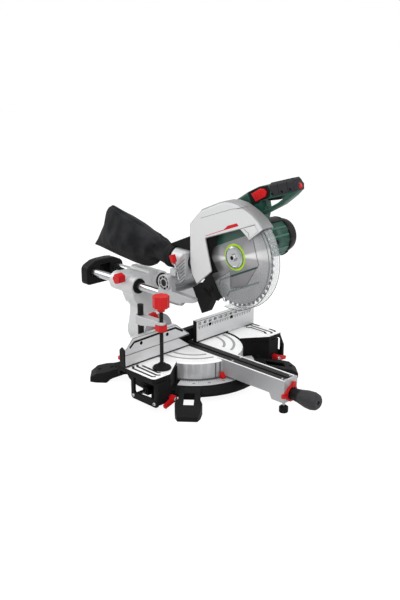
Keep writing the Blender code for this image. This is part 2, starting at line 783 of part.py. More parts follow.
def fence():
    floor = T + SWEEP
    lower = [
        (-SIDE_REACH, floor),
        (-KERF_LEFT, floor),
        (-KERF_LEFT, floor + 0.003),
        (-0.060, T + FENCE_SPLIT),
        (-SIDE_REACH, T + FENCE_SPLIT),
    ]
    left = prism(lower, Y, 0, FENCE_THICK)
    nut = rod(Y, (FENCE_LEVER_X, T + FENCE_LEVER_RISE), LEVER_STEM + RUNNING, 0.004, FENCE_THICK + 0.01, 12)
    piece(cut(left, nut), "fence_left", "base", "bare_aluminium")
    right = box_outline((KERF_RIGHT, floor), (SIDE_REACH - 0.001, T + FENCE_RISE))
    right = prism(right, Y, 0, FENCE_THICK)
    for x in (0.060, 0.145):
        cut(right, bore(Y, (x, T + 0.042), 0.003, -0.01, FENCE_THICK + 0.01, 12))
    piece(right, "fence_right", "base", "bare_aluminium")
    upper = [
        (-SIDE_REACH, T + FENCE_SPLIT + GAP),
        (-0.060, T + FENCE_SPLIT + GAP),
        (-KERF_LEFT, T + 0.035),
        (-0.066, T + UPPER_RISE - 0.001),
        (0.025 - SIDE_REACH, T + UPPER_RISE),
        (-SIDE_REACH, T + 0.046),
    ]
    slider = prism(upper, Y, 0, FENCE_THICK - 0.002)
    for x in (-0.187, -0.098):
        cut(slider, bore(Y, (x, T + 0.053), 0.003, -0.01, FENCE_THICK + 0.01, 12))
    piece(slider, "fence_slide_upper", "upper_fence", "bare_aluminium")
    cap = [
        (-0.001, T + 0.002),
        (FENCE_THICK + 0.003, T + 0.002),
        (FENCE_THICK + 0.003, T + 0.046),
        (0.009, T + 0.054),
        (-0.001, T + 0.046),
    ]
    end = -SIDE_REACH - GAP
    piece(prism(cap, X, end - FENCE_CAP, end), "fence_end_cap", "upper_fence", "black_plastic")
    place = (FENCE_LEVER_X, T + FENCE_LEVER_RISE)
    back = FENCE_THICK + GAP
    stem = rod(Y, place, LEVER_STEM, 0.006, back + 0.004, 12)
    hub = rod(Y, place, 0.0075, back, back + 0.016, 20)
    tip = [(-0.034, 0.0045), (0, 0.0065), (0, -0.0065), (-0.034, -0.0045)]
    paddle = prism([(place[0] + a, place[1] + b) for a, b in tip], Y, back + 0.006, back + 0.015)
    piece(joined(hub, stem, paddle), "fence_lever", "fence_lever", "red_plastic")


# Clamp

def clamp():
    post = rod(Z, (POST_X, POST_Y), POST_RADIUS, T - 0.030, T + POST_TOP, 20)
    piece(post, "clamp_post", "clamp", "black_plastic")
    run = Vector((SCREW_X - POST_X, SCREW_Y - POST_Y))
    heading = math.atan2(run.y, run.x) / DEG
    half = CLAMP_ARM_HALF
    far = run.length
    outline = arc((0, 0), half + 0.002, 110, 250, 8) + arc((far, 0), half, -90, 90, 8)
    arm = prism(outline, Z, T + CLAMP_ARM_LOW, T + CLAMP_ARM_HIGH)
    side = [
        (-0.02, CLAMP_ARM_LOW),
        (0.014, CLAMP_ARM_LOW),
        (far - 0.0105, CLAMP_ARM_HIGH - 0.015),
        (far - 0.0105, CLAMP_NUT_HIGH + GAP),
        (far + 0.02, CLAMP_NUT_HIGH + GAP),
        (far + 0.02, CLAMP_ARM_HIGH),
        (far - 0.012, CLAMP_ARM_HIGH),
        (0.014, CLAMP_ARM_HIGH - 0.005),
        (-0.02, CLAMP_ARM_HIGH - 0.005),
    ]
    combine(arm, prism(raised(side, T), Y, -0.05, 0.05), "INTERSECT")
    nut_half = half + 0.001
    edge = [
        (far - 0.010, -nut_half),
        (far + 0.007, -nut_half, 0.003),
        (far + 0.0115, 0.003 - nut_half),
        (far + 0.0115, nut_half - 0.003),
        (far + 0.007, nut_half, 0.003),
        (far - 0.010, nut_half),
    ]
    nut = prism(rounded(edge), Z, T + CLAMP_NUT_LOW, T + CLAMP_NUT_HIGH)
    for solid in (arm, nut):
        turn_about(solid, Z, heading)
        solid.data.transform(Matrix.Translation((POST_X, POST_Y, 0)))
    under = T + CLAMP_ARM_LOW - 0.01
    over = T + CLAMP_ARM_HIGH + 0.01
    cut(arm, bore(Z, (POST_X, POST_Y), POST_RADIUS + GAP, under, over, 20))
    cut(arm, bore(Z, (SCREW_X, SCREW_Y), SCREW_RADIUS + RUNNING, under, over, 16))
    piece(arm, "clamp_arm", "clamp", "silver_paint")
    cut(nut, bore(Z, (SCREW_X, SCREW_Y), SCREW_RADIUS + RUNNING + 0.0004, under, over, 16))
    piece(nut, "clamp_nut", "clamp", "red_plastic")
    foot = turned(
        [(0, T + 0.0006), (CLAMP_FOOT_RADIUS - 0.001, T + 0.0006), (CLAMP_FOOT_RADIUS, T + 0.002),
         (CLAMP_FOOT_RADIUS - 0.002, T + 0.0055), (0.012, T + 0.008), (0.009, T + 0.014), (0, T + 0.014)],
        Z, (SCREW_X, SCREW_Y), 28)
    piece(foot, "clamp_foot", "clamp_screw", "black_rubber")
    screw = rod(Z, (SCREW_X, SCREW_Y), SCREW_RADIUS, T + 0.014 + GAP, T + CLAMP_KNOB_LOW + 0.012, 16)
    piece(screw, "clamp_screw", "clamp_screw", "black_plastic")
    lobes = []
    for i in range(48):
        swell = 0.0012 * math.cos(8 * i * 7.5 * DEG)
        angle = i * 7.5 * DEG
        reach = CLAMP_KNOB_RADIUS - 0.0012 + swell
        lobes.append((SCREW_X + reach * math.cos(angle), SCREW_Y + reach * math.sin(angle)))
    skirt = T + CLAMP_KNOB_LOW
    knob = prism(lobes, Z, skirt + 0.010, T + CLAMP_KNOB_HIGH)
    neck = turned(
        [(0.0095, skirt), (0.0095, skirt + 0.006), (0.017, skirt + 0.0105), (0.012, skirt + 0.014)],
        Z,
        (SCREW_X, SCREW_Y),
        20,
    )
    joined(knob, neck)
    cut(knob, bore(Z, (SCREW_X, SCREW_Y), SCREW_RADIUS + GAP, skirt - 0.01, skirt + 0.012 + GAP, 16))
    piece(knob, "clamp_knob", "clamp_knob", "red_plastic")


# Turntable

def turntable():
    low = BASE_TOP + GAP
    roof = T - 0.010
    inner = DISC_RADIUS - 0.011
    disc = turned(
        [
            (0, T),
            (DISC_RADIUS - 0.018, T),
            (DISC_RADIUS - 0.016, T - 0.0015),
            (DISC_RADIUS - 0.004, T - 0.0022),
            (DISC_RADIUS, T - 0.006),
            (DISC_RADIUS, DISC_WALL_FOOT),
            (DISC_RADIUS - 0.003, DISC_WALL_FOOT),
            (DISC_RADIUS - 0.003, low),
            (inner, low),
            (inner, roof),
            (0.022, roof),
            (0.022, low),
            (PIVOT_RADIUS, low),
            (PIVOT_RADIUS, BASE_LIFT + 0.002),
            (0, BASE_LIFT + 0.002),
        ],
        Z,
        (0, 0),
        48,
    )
    side = [
        (-0.100, T),
        (-0.100, T - ARM_DEPTH),
        (-ARM_DEEP_START, T - ARM_DEPTH),
        (-ARM_DEEP_START - 0.008, T - ARM_DEEP),
        (-ARM_END, T - ARM_DEEP),
        (-ARM_END, T),
    ]
    arm = prism(side, X, -ARM_HALF, ARM_HALF)
    upright = arc((0, T), FLANGE_RADIUS, 0, 180, 20)
    upright += [(-FLANGE_RADIUS, DISC_WALL_FOOT + 0.001), (FLANGE_RADIUS, DISC_WALL_FOOT + 0.001)]
    flange = prism(upright, Y, FLANGE_FRONT, FLANGE_REAR)
    shelf = box((-0.042, 0.100, DISC_WALL_FOOT + 0.001), (0.042, FLANGE_REAR, T - 0.030))
    joined(disc, arm, shelf, flange)
    pocket = T - PLATE_THICK - GAP
    deep = T - CHANNEL_DEPTH
    cut(
        disc,
        box((-PLATE_HALF - GAP, -KERF_FRONT - GAP, pocket), (PLATE_HALF + GAP, KERF_REAR + GAP, T + 0.01)),
        box((-CHANNEL_HALF, 0.008 - KERF_FRONT, deep), (CHANNEL_HALF, KERF_REAR - 0.006, T)),
        bore(Y, (0, T - GRIP_DROP), LOCK_ROD_RADIUS + RUNNING, -ARM_END - 0.01, 0.004 - LOCK_ROD_END, 16),
        bore(Z, (0, -FOOT_Y), FOOT_STUD + RUNNING, T - ARM_DEEP - 0.01, T - ARM_DEEP + 0.014, 12),
        bore(Y, (0, T), BEVEL_BOLT_RADIUS + RUNNING, FLANGE_FRONT - 0.01, FLANGE_REAR + 0.01, 20),
    )
    piece(disc, "turntable", "turntable", "silver_paint")
    for name, sign in (("left", -1), ("right", 1)):
        top = T - KERF_SUNK
        section = [
            (sign * KERF_HALF, top),
            (sign * PLATE_HALF, top),
            (sign * PLATE_HALF, T - PLATE_THICK),
            (sign * (KERF_HALF + KERF_UNDERCUT), T - PLATE_THICK),
            (sign * KERF_HALF, top - 0.0015),
        ]
        strip = prism(section, Y, -KERF_FRONT, KERF_REAR)
        piece(strip, "kerf_plate_" + name, "turntable", "black_plastic")
    x = -ARM_HALF - 0.0003
    back = 0.0007 - DISC_RADIUS
    front = back - 0.0117
    low, high = DISC_WALL_FOOT - 0.0005, DISC_WALL_FOOT + 0.013
    pointer = [(back, low), (front, low), (front, low + 0.0025), (back - 0.0037, high), (back, high)]
    tip = prism(pointer, X, x - POINTER_WIDE, x)
    piece(tip, "mitre_pointer", "turntable", "red_plastic")


def grip_and_foot():
    z = T - GRIP_DROP
    profile = [
        (LOCK_ROD_RADIUS + GAP, -GRIP_START),
        (0.0145, -GRIP_START),
        (0.0150, -GRIP_START - 0.012),
        (0.0170, -GRIP_START - 0.028),
        (0.0215, -GRIP_START - 0.050),
        (GRIP_RADIUS, -GRIP_START - 0.066),
        (GRIP_RADIUS - 0.003, -GRIP_END + 0.005),
        (0.0145, -GRIP_END),
        (0.005, -GRIP_END),
        (0.005, -GRIP_END + 0.004),
        (LOCK_ROD_RADIUS + GAP, -GRIP_END + 0.004),
    ]
    piece(turned(profile, Y, (0, z), 20, ring=True), "mitre_grip", "mitre_grip", "black_rubber")
    lock = rod(Y, (0, z), LOCK_ROD_RADIUS, -GRIP_END + 0.006, -LOCK_ROD_END, 16)
    piece(lock, "mitre_lock_rod", "mitre_grip", "steel")
    front = -ARM_END - GAP
    collar = circle((0, z), COLLAR_RADIUS, 24)
    lever = prism(collar, Y, front - 0.006, front)
    wing = prism(
        [(-WING_REACH, z - 0.004), (-0.012, z - 0.008), (-0.012, z + 0.008), (-WING_REACH, z + 0.006)],
        Y,
        front - 0.006,
        front,
    )
    stem = prism(
        [(-0.008, T - ARM_DEEP + 0.002), (0.008, T - ARM_DEEP + 0.002), (0.008, z), (-0.008, z)],
        Y,
        front - 0.006,
        front,
    )
    thumb = prism(
        [(-0.008, z), (0.012, z), (0.014, z + 0.027), (0.004, z + 0.029)], Y, front - 0.006, front
    )
    joined(lever, wing, stem, thumb)
    cut(lever, bore(Y, (0, z), COLLAR_BORE, front - 0.02, front + 0.01, 24))
    piece(lever, "detent_lever", "detent_lever", "red_plastic")
    stud = rod(Z, (0, -FOOT_Y), FOOT_STUD, FOOT_HEIGHT - 0.006, T - ARM_DEEP + 0.004, 12)
    piece(stud, "arm_foot_stud", "arm_foot", "steel")
    pad = turned(
        [
            (0, 0),
            (FOOT_RADIUS - 0.001, 0),
            (FOOT_RADIUS, 0.002),
            (FOOT_RADIUS, FOOT_HEIGHT - 0.003),
            (0.008, FOOT_HEIGHT),
            (FOOT_STUD + GAP, FOOT_HEIGHT),
            (FOOT_STUD + GAP, FOOT_HEIGHT - 0.0063),
            (0, FOOT_HEIGHT - 0.0063),
        ],
        Z,
        (0, -FOOT_Y),
        20,
    )
    piece(pad, "arm_foot_knob", "arm_foot_knob", "black_rubber")


# Bevel arm

def bevel_arm():
    front = FLANGE_REAR + GAP
    low = circle((0, T), BEVEL_DISC, 32)
    disc = prism(low, Y, front, BEVEL_REAR)
    z = T + RAIL_RISE
    neck = [
        (-BEVEL_DISC * 0.94, T + 0.012),
        (-NECK_HALF, T + 0.048),
        (-NECK_HALF, T + 0.068),
        (-0.058, T + 0.100),
        (-0.062, z - 0.012),
        (0.062, z - 0.012),
        (0.058, T + 0.100),
        (NECK_HALF, T + 0.068),
        (NECK_HALF, T + 0.048),
        (BEVEL_DISC * 0.94, T + 0.012),
    ]
    joined(disc, prism(neck, Y, HOUSING_FRONT + 0.004, BEVEL_REAR))
    shoulder = [
        (BEVEL_REAR - 0.02, T + 0.086),
        (BEVEL_REAR, T + 0.080),
        (HOUSING_REAR - 0.030, z - 0.022),
        (HOUSING_REAR - 0.030, z),
        (BEVEL_REAR - 0.02, z),
    ]
    joined(disc, prism(shoulder, X, -0.050, 0.050))
    for sign in (-1, 1):
        joined(disc, rod(Y, (sign * RAIL_X, z), HOUSING_TUBE, HOUSING_FRONT, HOUSING_REAR, 28))
    web = [
        (-RAIL_X, z - 0.024),
        (RAIL_X, z - 0.024),
        (RAIL_X, z + HOUSING_TUBE - 0.001),
        (0.026, z + HOUSING_TUBE + 0.007),
        (0.008, z + HOUSING_TUBE + 0.007),
        (0.002, z + HOUSING_TUBE - 0.002),
        (-RAIL_X, z + HOUSING_TUBE - 0.001),
    ]
    joined(disc, prism(web, Y, HOUSING_FRONT + 0.012, HOUSING_REAR - 0.006))
    boss_end = -RAIL_X - HOUSING_TUBE - 0.004
    joined(disc, rod(X, (RAIL_KNOB_Y, T + RAIL_KNOB_RISE), 0.009, boss_end, -RAIL_X, 20))
    ends = (HOUSING_FRONT - 0.01, HOUSING_REAR + 0.01)
    for sign in (-1, 1):
        cut(disc, bore(Y, (sign * RAIL_X, z), RAIL_RADIUS + RUNNING, *ends, 24))
        cut(
            disc,
            bore(
                Y,
                (sign * RAIL_X, z),
                BUSH_RADIUS + GAP,
                HOUSING_FRONT - 0.01,
                HOUSING_FRONT + BUSH_LENGTH,
                24,
            ),
        )
    cut(disc, bore(Y, (0, T), BEVEL_BOLT_RADIUS + GAP, front - 0.01, BEVEL_REAR + 0.01, 20))
    cut(
        disc,
        bore(
            X, (RAIL_KNOB_Y, T + RAIL_KNOB_RISE), KNOB_STEM + RUNNING, boss_end - 0.01, -RAIL_X - 0.006, 12
        ),
    )
    piece(disc, "bevel_arm", "bevel_arm", "light_grey")
    bolt = turned(
        [
            (0, FLANGE_FRONT - 0.010),
            (0.014, FLANGE_FRONT - 0.010),
            (0.014, FLANGE_FRONT - GAP),
            (BEVEL_BOLT_RADIUS, FLANGE_FRONT - GAP),
            (BEVEL_BOLT_RADIUS, BEVEL_REAR + GAP),
            (0.015, BEVEL_REAR + GAP),
            (0.015, BEVEL_REAR + 0.010),
            (0, BEVEL_REAR + 0.010),
        ],
        Y,
        (0, T),
        20,
    )
    piece(bolt, "bevel_pivot_bolt", "bevel_arm", "steel")
    for name, sign in (("left", -1), ("right", 1)):
        ring = [
            (RAIL_RADIUS + RUNNING + 0.0001, HOUSING_FRONT - 0.003),
            (BUSH_RADIUS, HOUSING_FRONT - 0.003),
            (BUSH_RADIUS, HOUSING_FRONT + BUSH_LENGTH - GAP),
            (RAIL_RADIUS + RUNNING + 0.0001, HOUSING_FRONT + BUSH_LENGTH - GAP),
        ]
        piece(
            turned(ring, Y, (sign * RAIL_X, z), 24, ring=True),
            "rail_bush_" + name,
            "bevel_arm",
            "black_plastic",
        )
    knob_x = boss_end - GAP
    lobes = []
    for i in range(40):
        angle = i * 9 * DEG
        reach = KNOB_RADIUS - 0.001 + 0.001 * math.cos(5 * angle)
        lobes.append((RAIL_KNOB_Y + reach * math.cos(angle), T + RAIL_KNOB_RISE + reach * math.sin(angle)))
    knob = prism(lobes, X, knob_x - 0.024, knob_x)
    stem = rod(X, (RAIL_KNOB_Y, T + RAIL_KNOB_RISE), KNOB_STEM, knob_x - 0.01, -RAIL_X - 0.008, 12)
    piece(joined(knob, stem), "rail_lock_knob", "rail_lock", "red_plastic")
    lever_front = FLANGE_FRONT - 0.011
    hub = turned(
        [
            (0.0146, lever_front + 0.0005),
            (0.021, lever_front + 0.0005),
            (0.021, FLANGE_FRONT - GAP),
            (0.0146, FLANGE_FRONT - GAP),
        ],
        Y,
        (0, T),
        28,
        ring=True,
    )
    blade = prism(
        [(-0.008, T + 0.017), (0.010, T + 0.017), (-0.018, T + 0.062), (-0.040, T + 0.060)],
        Y,
        lever_front + 0.0005,
        FLANGE_FRONT - GAP,
    )
    piece(joined(hub, blade), "bevel_lever", "bevel_lever", "red_plastic")


# Rails and head bracket

def slide():
    z = T + RAIL_RISE
    for name, sign in (("left", -1), ("right", 1)):
        piece(
            rod(Y, (sign * RAIL_X, z), RAIL_RADIUS, RAIL_FRONT, RAIL_REAR, 24),
            "rail_" + name,
            "slide",
            "steel",
        )
    half = CAP_HALF
    outline = [
        (-half, T + CAP_LOW + 0.004, 0.010),
        (half, T + CAP_LOW + 0.004, 0.010),
        (half, T + CAP_HIGH - 0.016, 0.018),
        (0.036, T + CAP_HIGH - 0.002),
        (0.018, T + CAP_HIGH),
        (-0.018, T + CAP_HIGH),
        (-0.036, T + CAP_HIGH - 0.002),
        (-half, T + CAP_HIGH - 0.016, 0.018),
    ]
    cap = prism(rounded(outline), Y, CAP_FRONT, CAP_REAR)
    for sign in (-1, 1):
        cut(cap, bore(Y, (sign * RAIL_X, z), RAIL_RADIUS + GAP, CAP_FRONT - 0.01, RAIL_REAR + GAP, 24))
    recess = box(
        (-0.020, CAP_FRONT - 0.01, T + CAP_LOW + 0.016), (0.020, CAP_FRONT + 0.020, T + CAP_HIGH - 0.016)
    )
    piece(cut(cap, recess), "rear_cap", "slide", "black_plastic")
    block = box((-EAR_OUT, BRACKET_FRONT, T + BRACKET_LOW), (EAR_OUT, BRACKET_REAR, T + BRACKET_HIGH))
    pivot = (PIVOT_Y, T + PIVOT_RISE)
    ear = [
        (BRACKET_REAR, T + BRACKET_LOW + 0.010),
        *arc(pivot, HUB_RADIUS, 0, 180, 14),
        (pivot[0] - HUB_RADIUS - 0.004, T + TONGUE_TOP),
        (-0.053, T + TONGUE_TOP - 0.003),
        (-0.053, T + TONGUE_TOP - 0.014),
        (-0.013, T + BRACKET_LOW + 0.020),
        (0.000, T + BRACKET_LOW + 0.006),
        (BRACKET_FRONT + 0.006, T + BRACKET_LOW),
    ]
    plain_ear = ear[:16] + [(pivot[0] - HUB_RADIUS, T + BRACKET_LOW + 0.010)]
    joined(block, prism(ear, X, -EAR_OUT, -EAR_IN), prism(plain_ear, X, EAR_IN, EAR_OUT))
    for sign in (-1, 1):
        corner = [
            (sign * (EAR_OUT + 0.001), T + BRACKET_LOW - 0.001),
            (sign * (EAR_OUT + 0.001), T + BRACKET_LOW + BRACKET_CHAMFER),
            (sign * (EAR_OUT - 1.28 * BRACKET_CHAMFER), T + BRACKET_LOW - 0.001),
        ]
        cut(block, prism(corner, Y, -0.1, BRACKET_REAR + 0.01))
        cut(
            block, bore(Y, (sign * RAIL_X, z), RAIL_RADIUS + GAP, RAIL_FRONT - GAP, BRACKET_REAR + 0.01, 24)
        )
    cut(block, bore(X, pivot, PIN_RADIUS + GAP, -0.1, 0.1, 20))
    piece(block, "head_bracket", "slide", "silver_paint")
    pin = turned(
        [
            (0, -EAR_OUT - 0.004),
            (0.011, -EAR_OUT - 0.004),
            (0.011, -EAR_OUT - GAP),
            (PIN_RADIUS, -EAR_OUT - GAP),
            (PIN_RADIUS, EAR_OUT + 0.004),
            (0, EAR_OUT + 0.004),
        ],
        X,
        pivot,
        20,
    )
    piece(pin, "head_pivot_pin", "slide", "steel")


# Saw head

def head_arm():
    pivot = (PIVOT_Y, T + PIVOT_RISE)
    spindle = (BLADE_Y, T + BLADE_RISE)
    motor = (BLADE_Y, T + MOTOR_RISE)
    barrel = rod(X, pivot, BARREL_RADIUS, -EAR_IN + 0.0005, EAR_IN - 0.0005, 28)
    side = [
        (PIVOT_Y + 0.006, pivot[1] + BARREL_RADIUS - 0.001),
        (0.036, T + 0.214),
        (0.006, T + 0.2565),
        (COVER_REAR + 0.0006, T + 0.2565),
        (COVER_REAR + 0.0006, T + 0.196),
        (0.010, T + 0.178),
        (PIVOT_Y - 0.012, pivot[1] - 0.012),
    ]
    joined(barrel, prism(side, X, -ARM_CAST_HALF, ARM_CAST_HALF))
    branch = [
        (0.020, T + 0.190),
        (0.010, T + 0.250),
        (-0.135, T + 0.312),
        (-0.135, T + 0.242),
        (-0.020, T + 0.196),
    ]
    joined(barrel, prism(branch, X, GEARBOX_LEFT, GEARBOX_RIGHT - 0.016))
    joined(barrel, rod(X, spindle, 0.034, GEARBOX_LEFT, GEARBOX_RIGHT, 32))
    joined(barrel, rod(X, motor, 0.034, GEARBOX_LEFT, GEARBOX_RIGHT, 32))
    joined(barrel, rod(X, spindle, BOSS_RADIUS, 0.0078, GEARBOX_LEFT + 0.001, 28))
    chute = (0, T + CHUTE_RISE)
    joined(barrel, rod(Y, chute, CHUTE_RADIUS, COVER_REAR + 0.0006, CHUTE_REAR, 28))
    lug = box((-STOP_LUG_OUT, 0.016, T + 0.196), (-ARM_CAST_HALF + 0.001, 0.036, T + 0.214))
    joined(barrel, lug)
    gear_reach = GEAR_MODULE * GEAR_TEETH / 2 + 0.003
    pinion_reach = GEAR_MODULE * PINION_TEETH / 2 + 0.003
    cut(
        barrel,
        bore(X, spindle, gear_reach, GEAR_LEFT - 0.003, GEARBOX_RIGHT + 0.01, 32),
        bore(X, motor, pinion_reach, GEAR_LEFT - 0.006, GEARBOX_RIGHT + 0.01, 20),
        bore(X, spindle, SPINDLE_RADIUS + RUNNING, 0, GEARBOX_RIGHT, 20),
        bore(X, pivot, PIN_RADIUS + RUNNING, -0.1, 0.1, 20),
        bore(Y, chute, CHUTE_RADIUS - CHUTE_WALL, COVER_REAR - 0.01, CHUTE_REAR + 0.01, 24),
    )
    thread = rod(Z, (0, 0), STOP_RADIUS / math.cos(math.pi / 12) + RUNNING, -0.05, 0.08, 12)
    cut(barrel, placed_on_stop(thread))
    piece(barrel, "head_arm", "head", "silver_paint")


def placed_on_stop(obj):
    """Moves a solid made along +Z onto the depth stop's slanted axis."""
    lean = math.atan2(STOP_HIGH[0] - STOP_LOW[0], STOP_HIGH[1] - STOP_LOW[1])
    obj.data.transform(Matrix.Translation((STOP_X, *STOP_LOW)) @ Matrix.Rotation(-lean, 4, "X"))
    return obj


def depth_stop():
    length = (Vector(STOP_HIGH) - Vector(STOP_LOW)).length
    screw = turned(
        [
            (0, 0),
            (STOP_RADIUS, 0),
            (STOP_RADIUS, length - 0.020),
            (0.0065, length - 0.019),
            (0.0065, length),
            (0, length),
        ],
        Z,
        (0, 0),
        12,
    )
    piece(placed_on_stop(screw), "depth_stop_screw", "depth_stop", "red_plastic")


def blade_cover():
    """The hollow cover, its left upper edge chamfered, open below and at its window."""
    path = raised([COVER_FOOT] + COVER_EDGE, T)
    chamfer = [CHAMFER_REAR] * 4 + [CHAMFER_TOP] * (len(path) - 4)
    rings = []
    for edge, x in (
        (inset_path(path, chamfer), -COVER_HALF),
        (path, COVER_CREASE - COVER_HALF),
        (path, COVER_HALF),
    ):
        outline = edge + raised(COVER_FRONT + [COVER_LOW], T)
        rings.append([(x, y, z) for y, z in outline])
    shell = loft(rings)
    inner = inset_path(path, [COVER_WALL] * len(path))
    beyond = tuple(2 * Vector(inner[-1]) - Vector(inner[-2]))
    hollow = [(inner[0][0] + 0.010, inner[0][1] - 0.030)] + inner[1:] + [beyond]
    hollow += raised([(-0.270, 0.300), (-0.208, 0.180)], T)
    reach = COVER_HALF - COVER_LEFT_WALL
    cut(shell, prism(hollow, X, -reach, COVER_HALF - COVER_WALL))
    window = raised(COVER_WINDOW, T)
    cut(shell, prism(window, X, -COVER_HALF - 0.01, -reach + 0.002))
    cut(shell, bore(X, (BLADE_Y, T + BLADE_RISE), BOSS_RADIUS + 0.002, 0, 0.1, 28))
    cut(shell, bore(Y, (0, T + CHUTE_RISE), CHUTE_RADIUS - CHUTE_WALL - 0.008, -0.03, 0.03, 24))
    piece(shell, "blade_cover", "head", "light_grey")


def handle_form(growth):
    """The handle's rounded bar before its finger gap, grown outwards."""
    rings = []
    for share, inset in ((-1, HANDLE_ROUND), (-0.6, 0), (0.6, 0), (1, HANDLE_ROUND)):
        x = HANDLE_X + share * (HANDLE_HALF + growth)
        edge = raised(grown(HANDLE_OUTLINE, growth - inset), T)
        rings.append([(x, y, z) for y, z in edge])
    return loft(rings)


def motor_and_handle():
    motor = (BLADE_Y, T + MOTOR_RISE)
    left = GEARBOX_RIGHT + 0.0005
    tube = rod(X, motor, MOTOR_RADIUS, left, MOTOR_END, 36)
    joined(tube, rod(X, (BLADE_Y, T + BLADE_RISE), 0.034, left, left + 0.004, 32))
    loop = handle_form(0)
    joined(tube, loop, prism(raised(HANDLE_NECK, T), X, HANDLE_X - HANDLE_HALF + 0.002, left + 0.018))
    gap = prism(raised(FINGER_GAP, T), X, HANDLE_X - 0.1, HANDLE_X + 0.1)
    slot_half = HANDLE_HALF - 0.006
    slot = prism(raised(TRIGGER_SLOT, T), X, HANDLE_X - slot_half, HANDLE_X + slot_half)
    bore_radius = MOTOR_RADIUS - MOTOR_SHELL
    cut(
        tube,
        gap,
        slot,
        bore(X, motor, bore_radius, left + 0.004, MOTOR_END + 0.01, 36),
        bore(X, motor, SHAFT_RADIUS + RUNNING, left - 0.01, left + 0.01, 20),
        bore(X, (BLADE_Y, T + BLADE_RISE), SPINDLE_RADIUS + RUNNING, left - 0.01, left + 0.003, 20),
    )
    piece(tube, "motor_housing", "head", "green_plastic")
    bearing = SHAFT_RADIUS + RUNNING
    right = END_CAP_RIGHT
    cap = turned(
        [
            (0, right),
            (0.042, right),
            (MOTOR_RADIUS, right - 0.028),
            (MOTOR_RADIUS, MOTOR_END + GAP),
            (MOTOR_RADIUS - MOTOR_SHELL, MOTOR_END + GAP),
            (MOTOR_RADIUS - MOTOR_SHELL, right - 0.032),
            (0.038, right - 0.005),
            (0.012, right - 0.005),
            (0.012, right - 0.022),
            (bearing, right - 0.022),
            (bearing, right - 0.011),
            (0, right - 0.011),
        ],
        X,
        motor,
        32,
    )
    piece(cap, "motor_end_cap", "head", "black_plastic")
    grip = handle_form(GRIP_SKIN)
    combine(grip, prism(raised(GRIP_ZONE, T), X, HANDLE_X - 0.1, HANDLE_X + 0.1), "INTERSECT")
    cut(grip, handle_form(GAP))
    piece(grip, "handle_grip", "head", "dark_grip")
    slider = prism(
        raised(LOCK_OFF_OUTLINE, T), X, HANDLE_X - HANDLE_HALF - 0.005, HANDLE_X - HANDLE_HALF - GAP
    )
    piece(slider, "lock_off_slider", "lock_off", "red_plastic")
    blade = prism(raised(TRIGGER_OUTLINE, T), X, HANDLE_X - slot_half + SWEEP, HANDLE_X + slot_half - SWEEP)
    piece(blade, "trigger", "trigger", "black_plastic")
    stator = turned(
        [(STATOR_INNER, CORE_LEFT), (MOTOR_RADIUS - MOTOR_SHELL - GAP, CORE_LEFT),
         (MOTOR_RADIUS - MOTOR_SHELL - GAP, CORE_RIGHT), (STATOR_INNER, CORE_RIGHT)],
        X, motor, 36, ring=True)
    piece(stator, "stator", "head", "copper_winding")


def grown(points, distance):
    """A closed outline grown outwards; the outline runs clockwise."""
    count = len(points)
    moved = []
    for i in range(count):
        here = Vector(points[i])
        before = here - Vector(points[i - 1])
        after = Vector(points[(i + 1) % count]) - here
        normals = [Vector((-run.y, run.x)).normalized() for run in (before, after)]
        mid = (normals[0] + normals[1]).normalized()
        moved.append(tuple(here + mid * (distance / max(0.4, mid.dot(normals[0])))))
    return moved


def deflector():
    """The rubber flap behind the blade, seated on the cover's slanted lower edge."""
    clear = BLADE_RADIUS + GUARD_GAP + GUARD_WALL + 0.004
    edge = (Vector(COVER_LOW) - Vector(COVER_FOOT)).normalized()
    seat = Vector(COVER_FOOT) + Vector((-edge.y, edge.x)) * GAP
    corner = seat + edge * SEAT_LENGTH
    front = arc((BLADE_Y, BLADE_RISE), clear, -40, -62, 8)
    outline = [tuple(seat), tuple(corner)] + front + DEFLECTOR_TIP
    piece(
        prism(raised(outline, T), X, DEFLECTOR_INSET - COVER_HALF, DEFLECTOR_RIGHT),
        "chip_deflector",
        "head",
        "black_rubber",
    )
    top = raised([(0.001, 0.2578), (0.001, 0.300), (0.020, 0.292), (0.084, 0.2640), (0.084, 0.2578)], T)
    piece(prism(top, X, -0.006, 0.034), "cable_cover", "head", "black_plastic")


def dust_bag():
    rise = CHUTE_RISE
    start = CHUTE_REAR + GAP
    spine = [
        ((start, rise - 0.027), (start, rise + 0.027), 0.027),
        ((0.100, 0.2035), (0.092, 0.2565), 0.028),
        ((0.122, 0.207), (0.114, 0.268), 0.031),
        ((0.148, 0.189), (0.146, 0.281), 0.043),
        ((0.200, 0.187), (0.192, 0.294), 0.051),
        ((0.270, 0.193), (0.248, 0.309), 0.052),
        ((0.340, 0.199), (0.300, 0.323), 0.046),
        ((0.385, 0.203), (0.338, 0.312), 0.034),
        ((0.408, 0.206), (0.362, 0.266), 0.012),
    ]
    rings = []
    for low, high, half in spine:
        middle = (Vector(low) + Vector(high)) / 2
        up = (Vector(high) - Vector(low)) / 2
        ring = []
        for i in range(16):
            angle = i * 22.5 * DEG
            spot = middle + up * math.sin(angle)
            ring.append((half * math.cos(angle), spot.x, T + spot.y))
        rings.append(ring)
    piece(loft(rings), "dust_bag", "head", "black_fabric")


# Blade and drive

def gear_outline(teeth, centre, phase):
    """Straight-flanked teeth with enough backlash to turn freely."""
    radius = GEAR_MODULE * teeth / 2
    points = []
    pitch = 360 / teeth
    for i in range(teeth):
        for share, reach in ((-0.30, -1.1), (-0.12, 0.8), (0.12, 0.8), (0.30, -1.1)):
            angle = (phase + (i + share) * pitch) * DEG
            far = radius + reach * GEAR_MODULE
            points.append((centre[0] + far * math.cos(angle), centre[1] + far * math.sin(angle)))
    return points


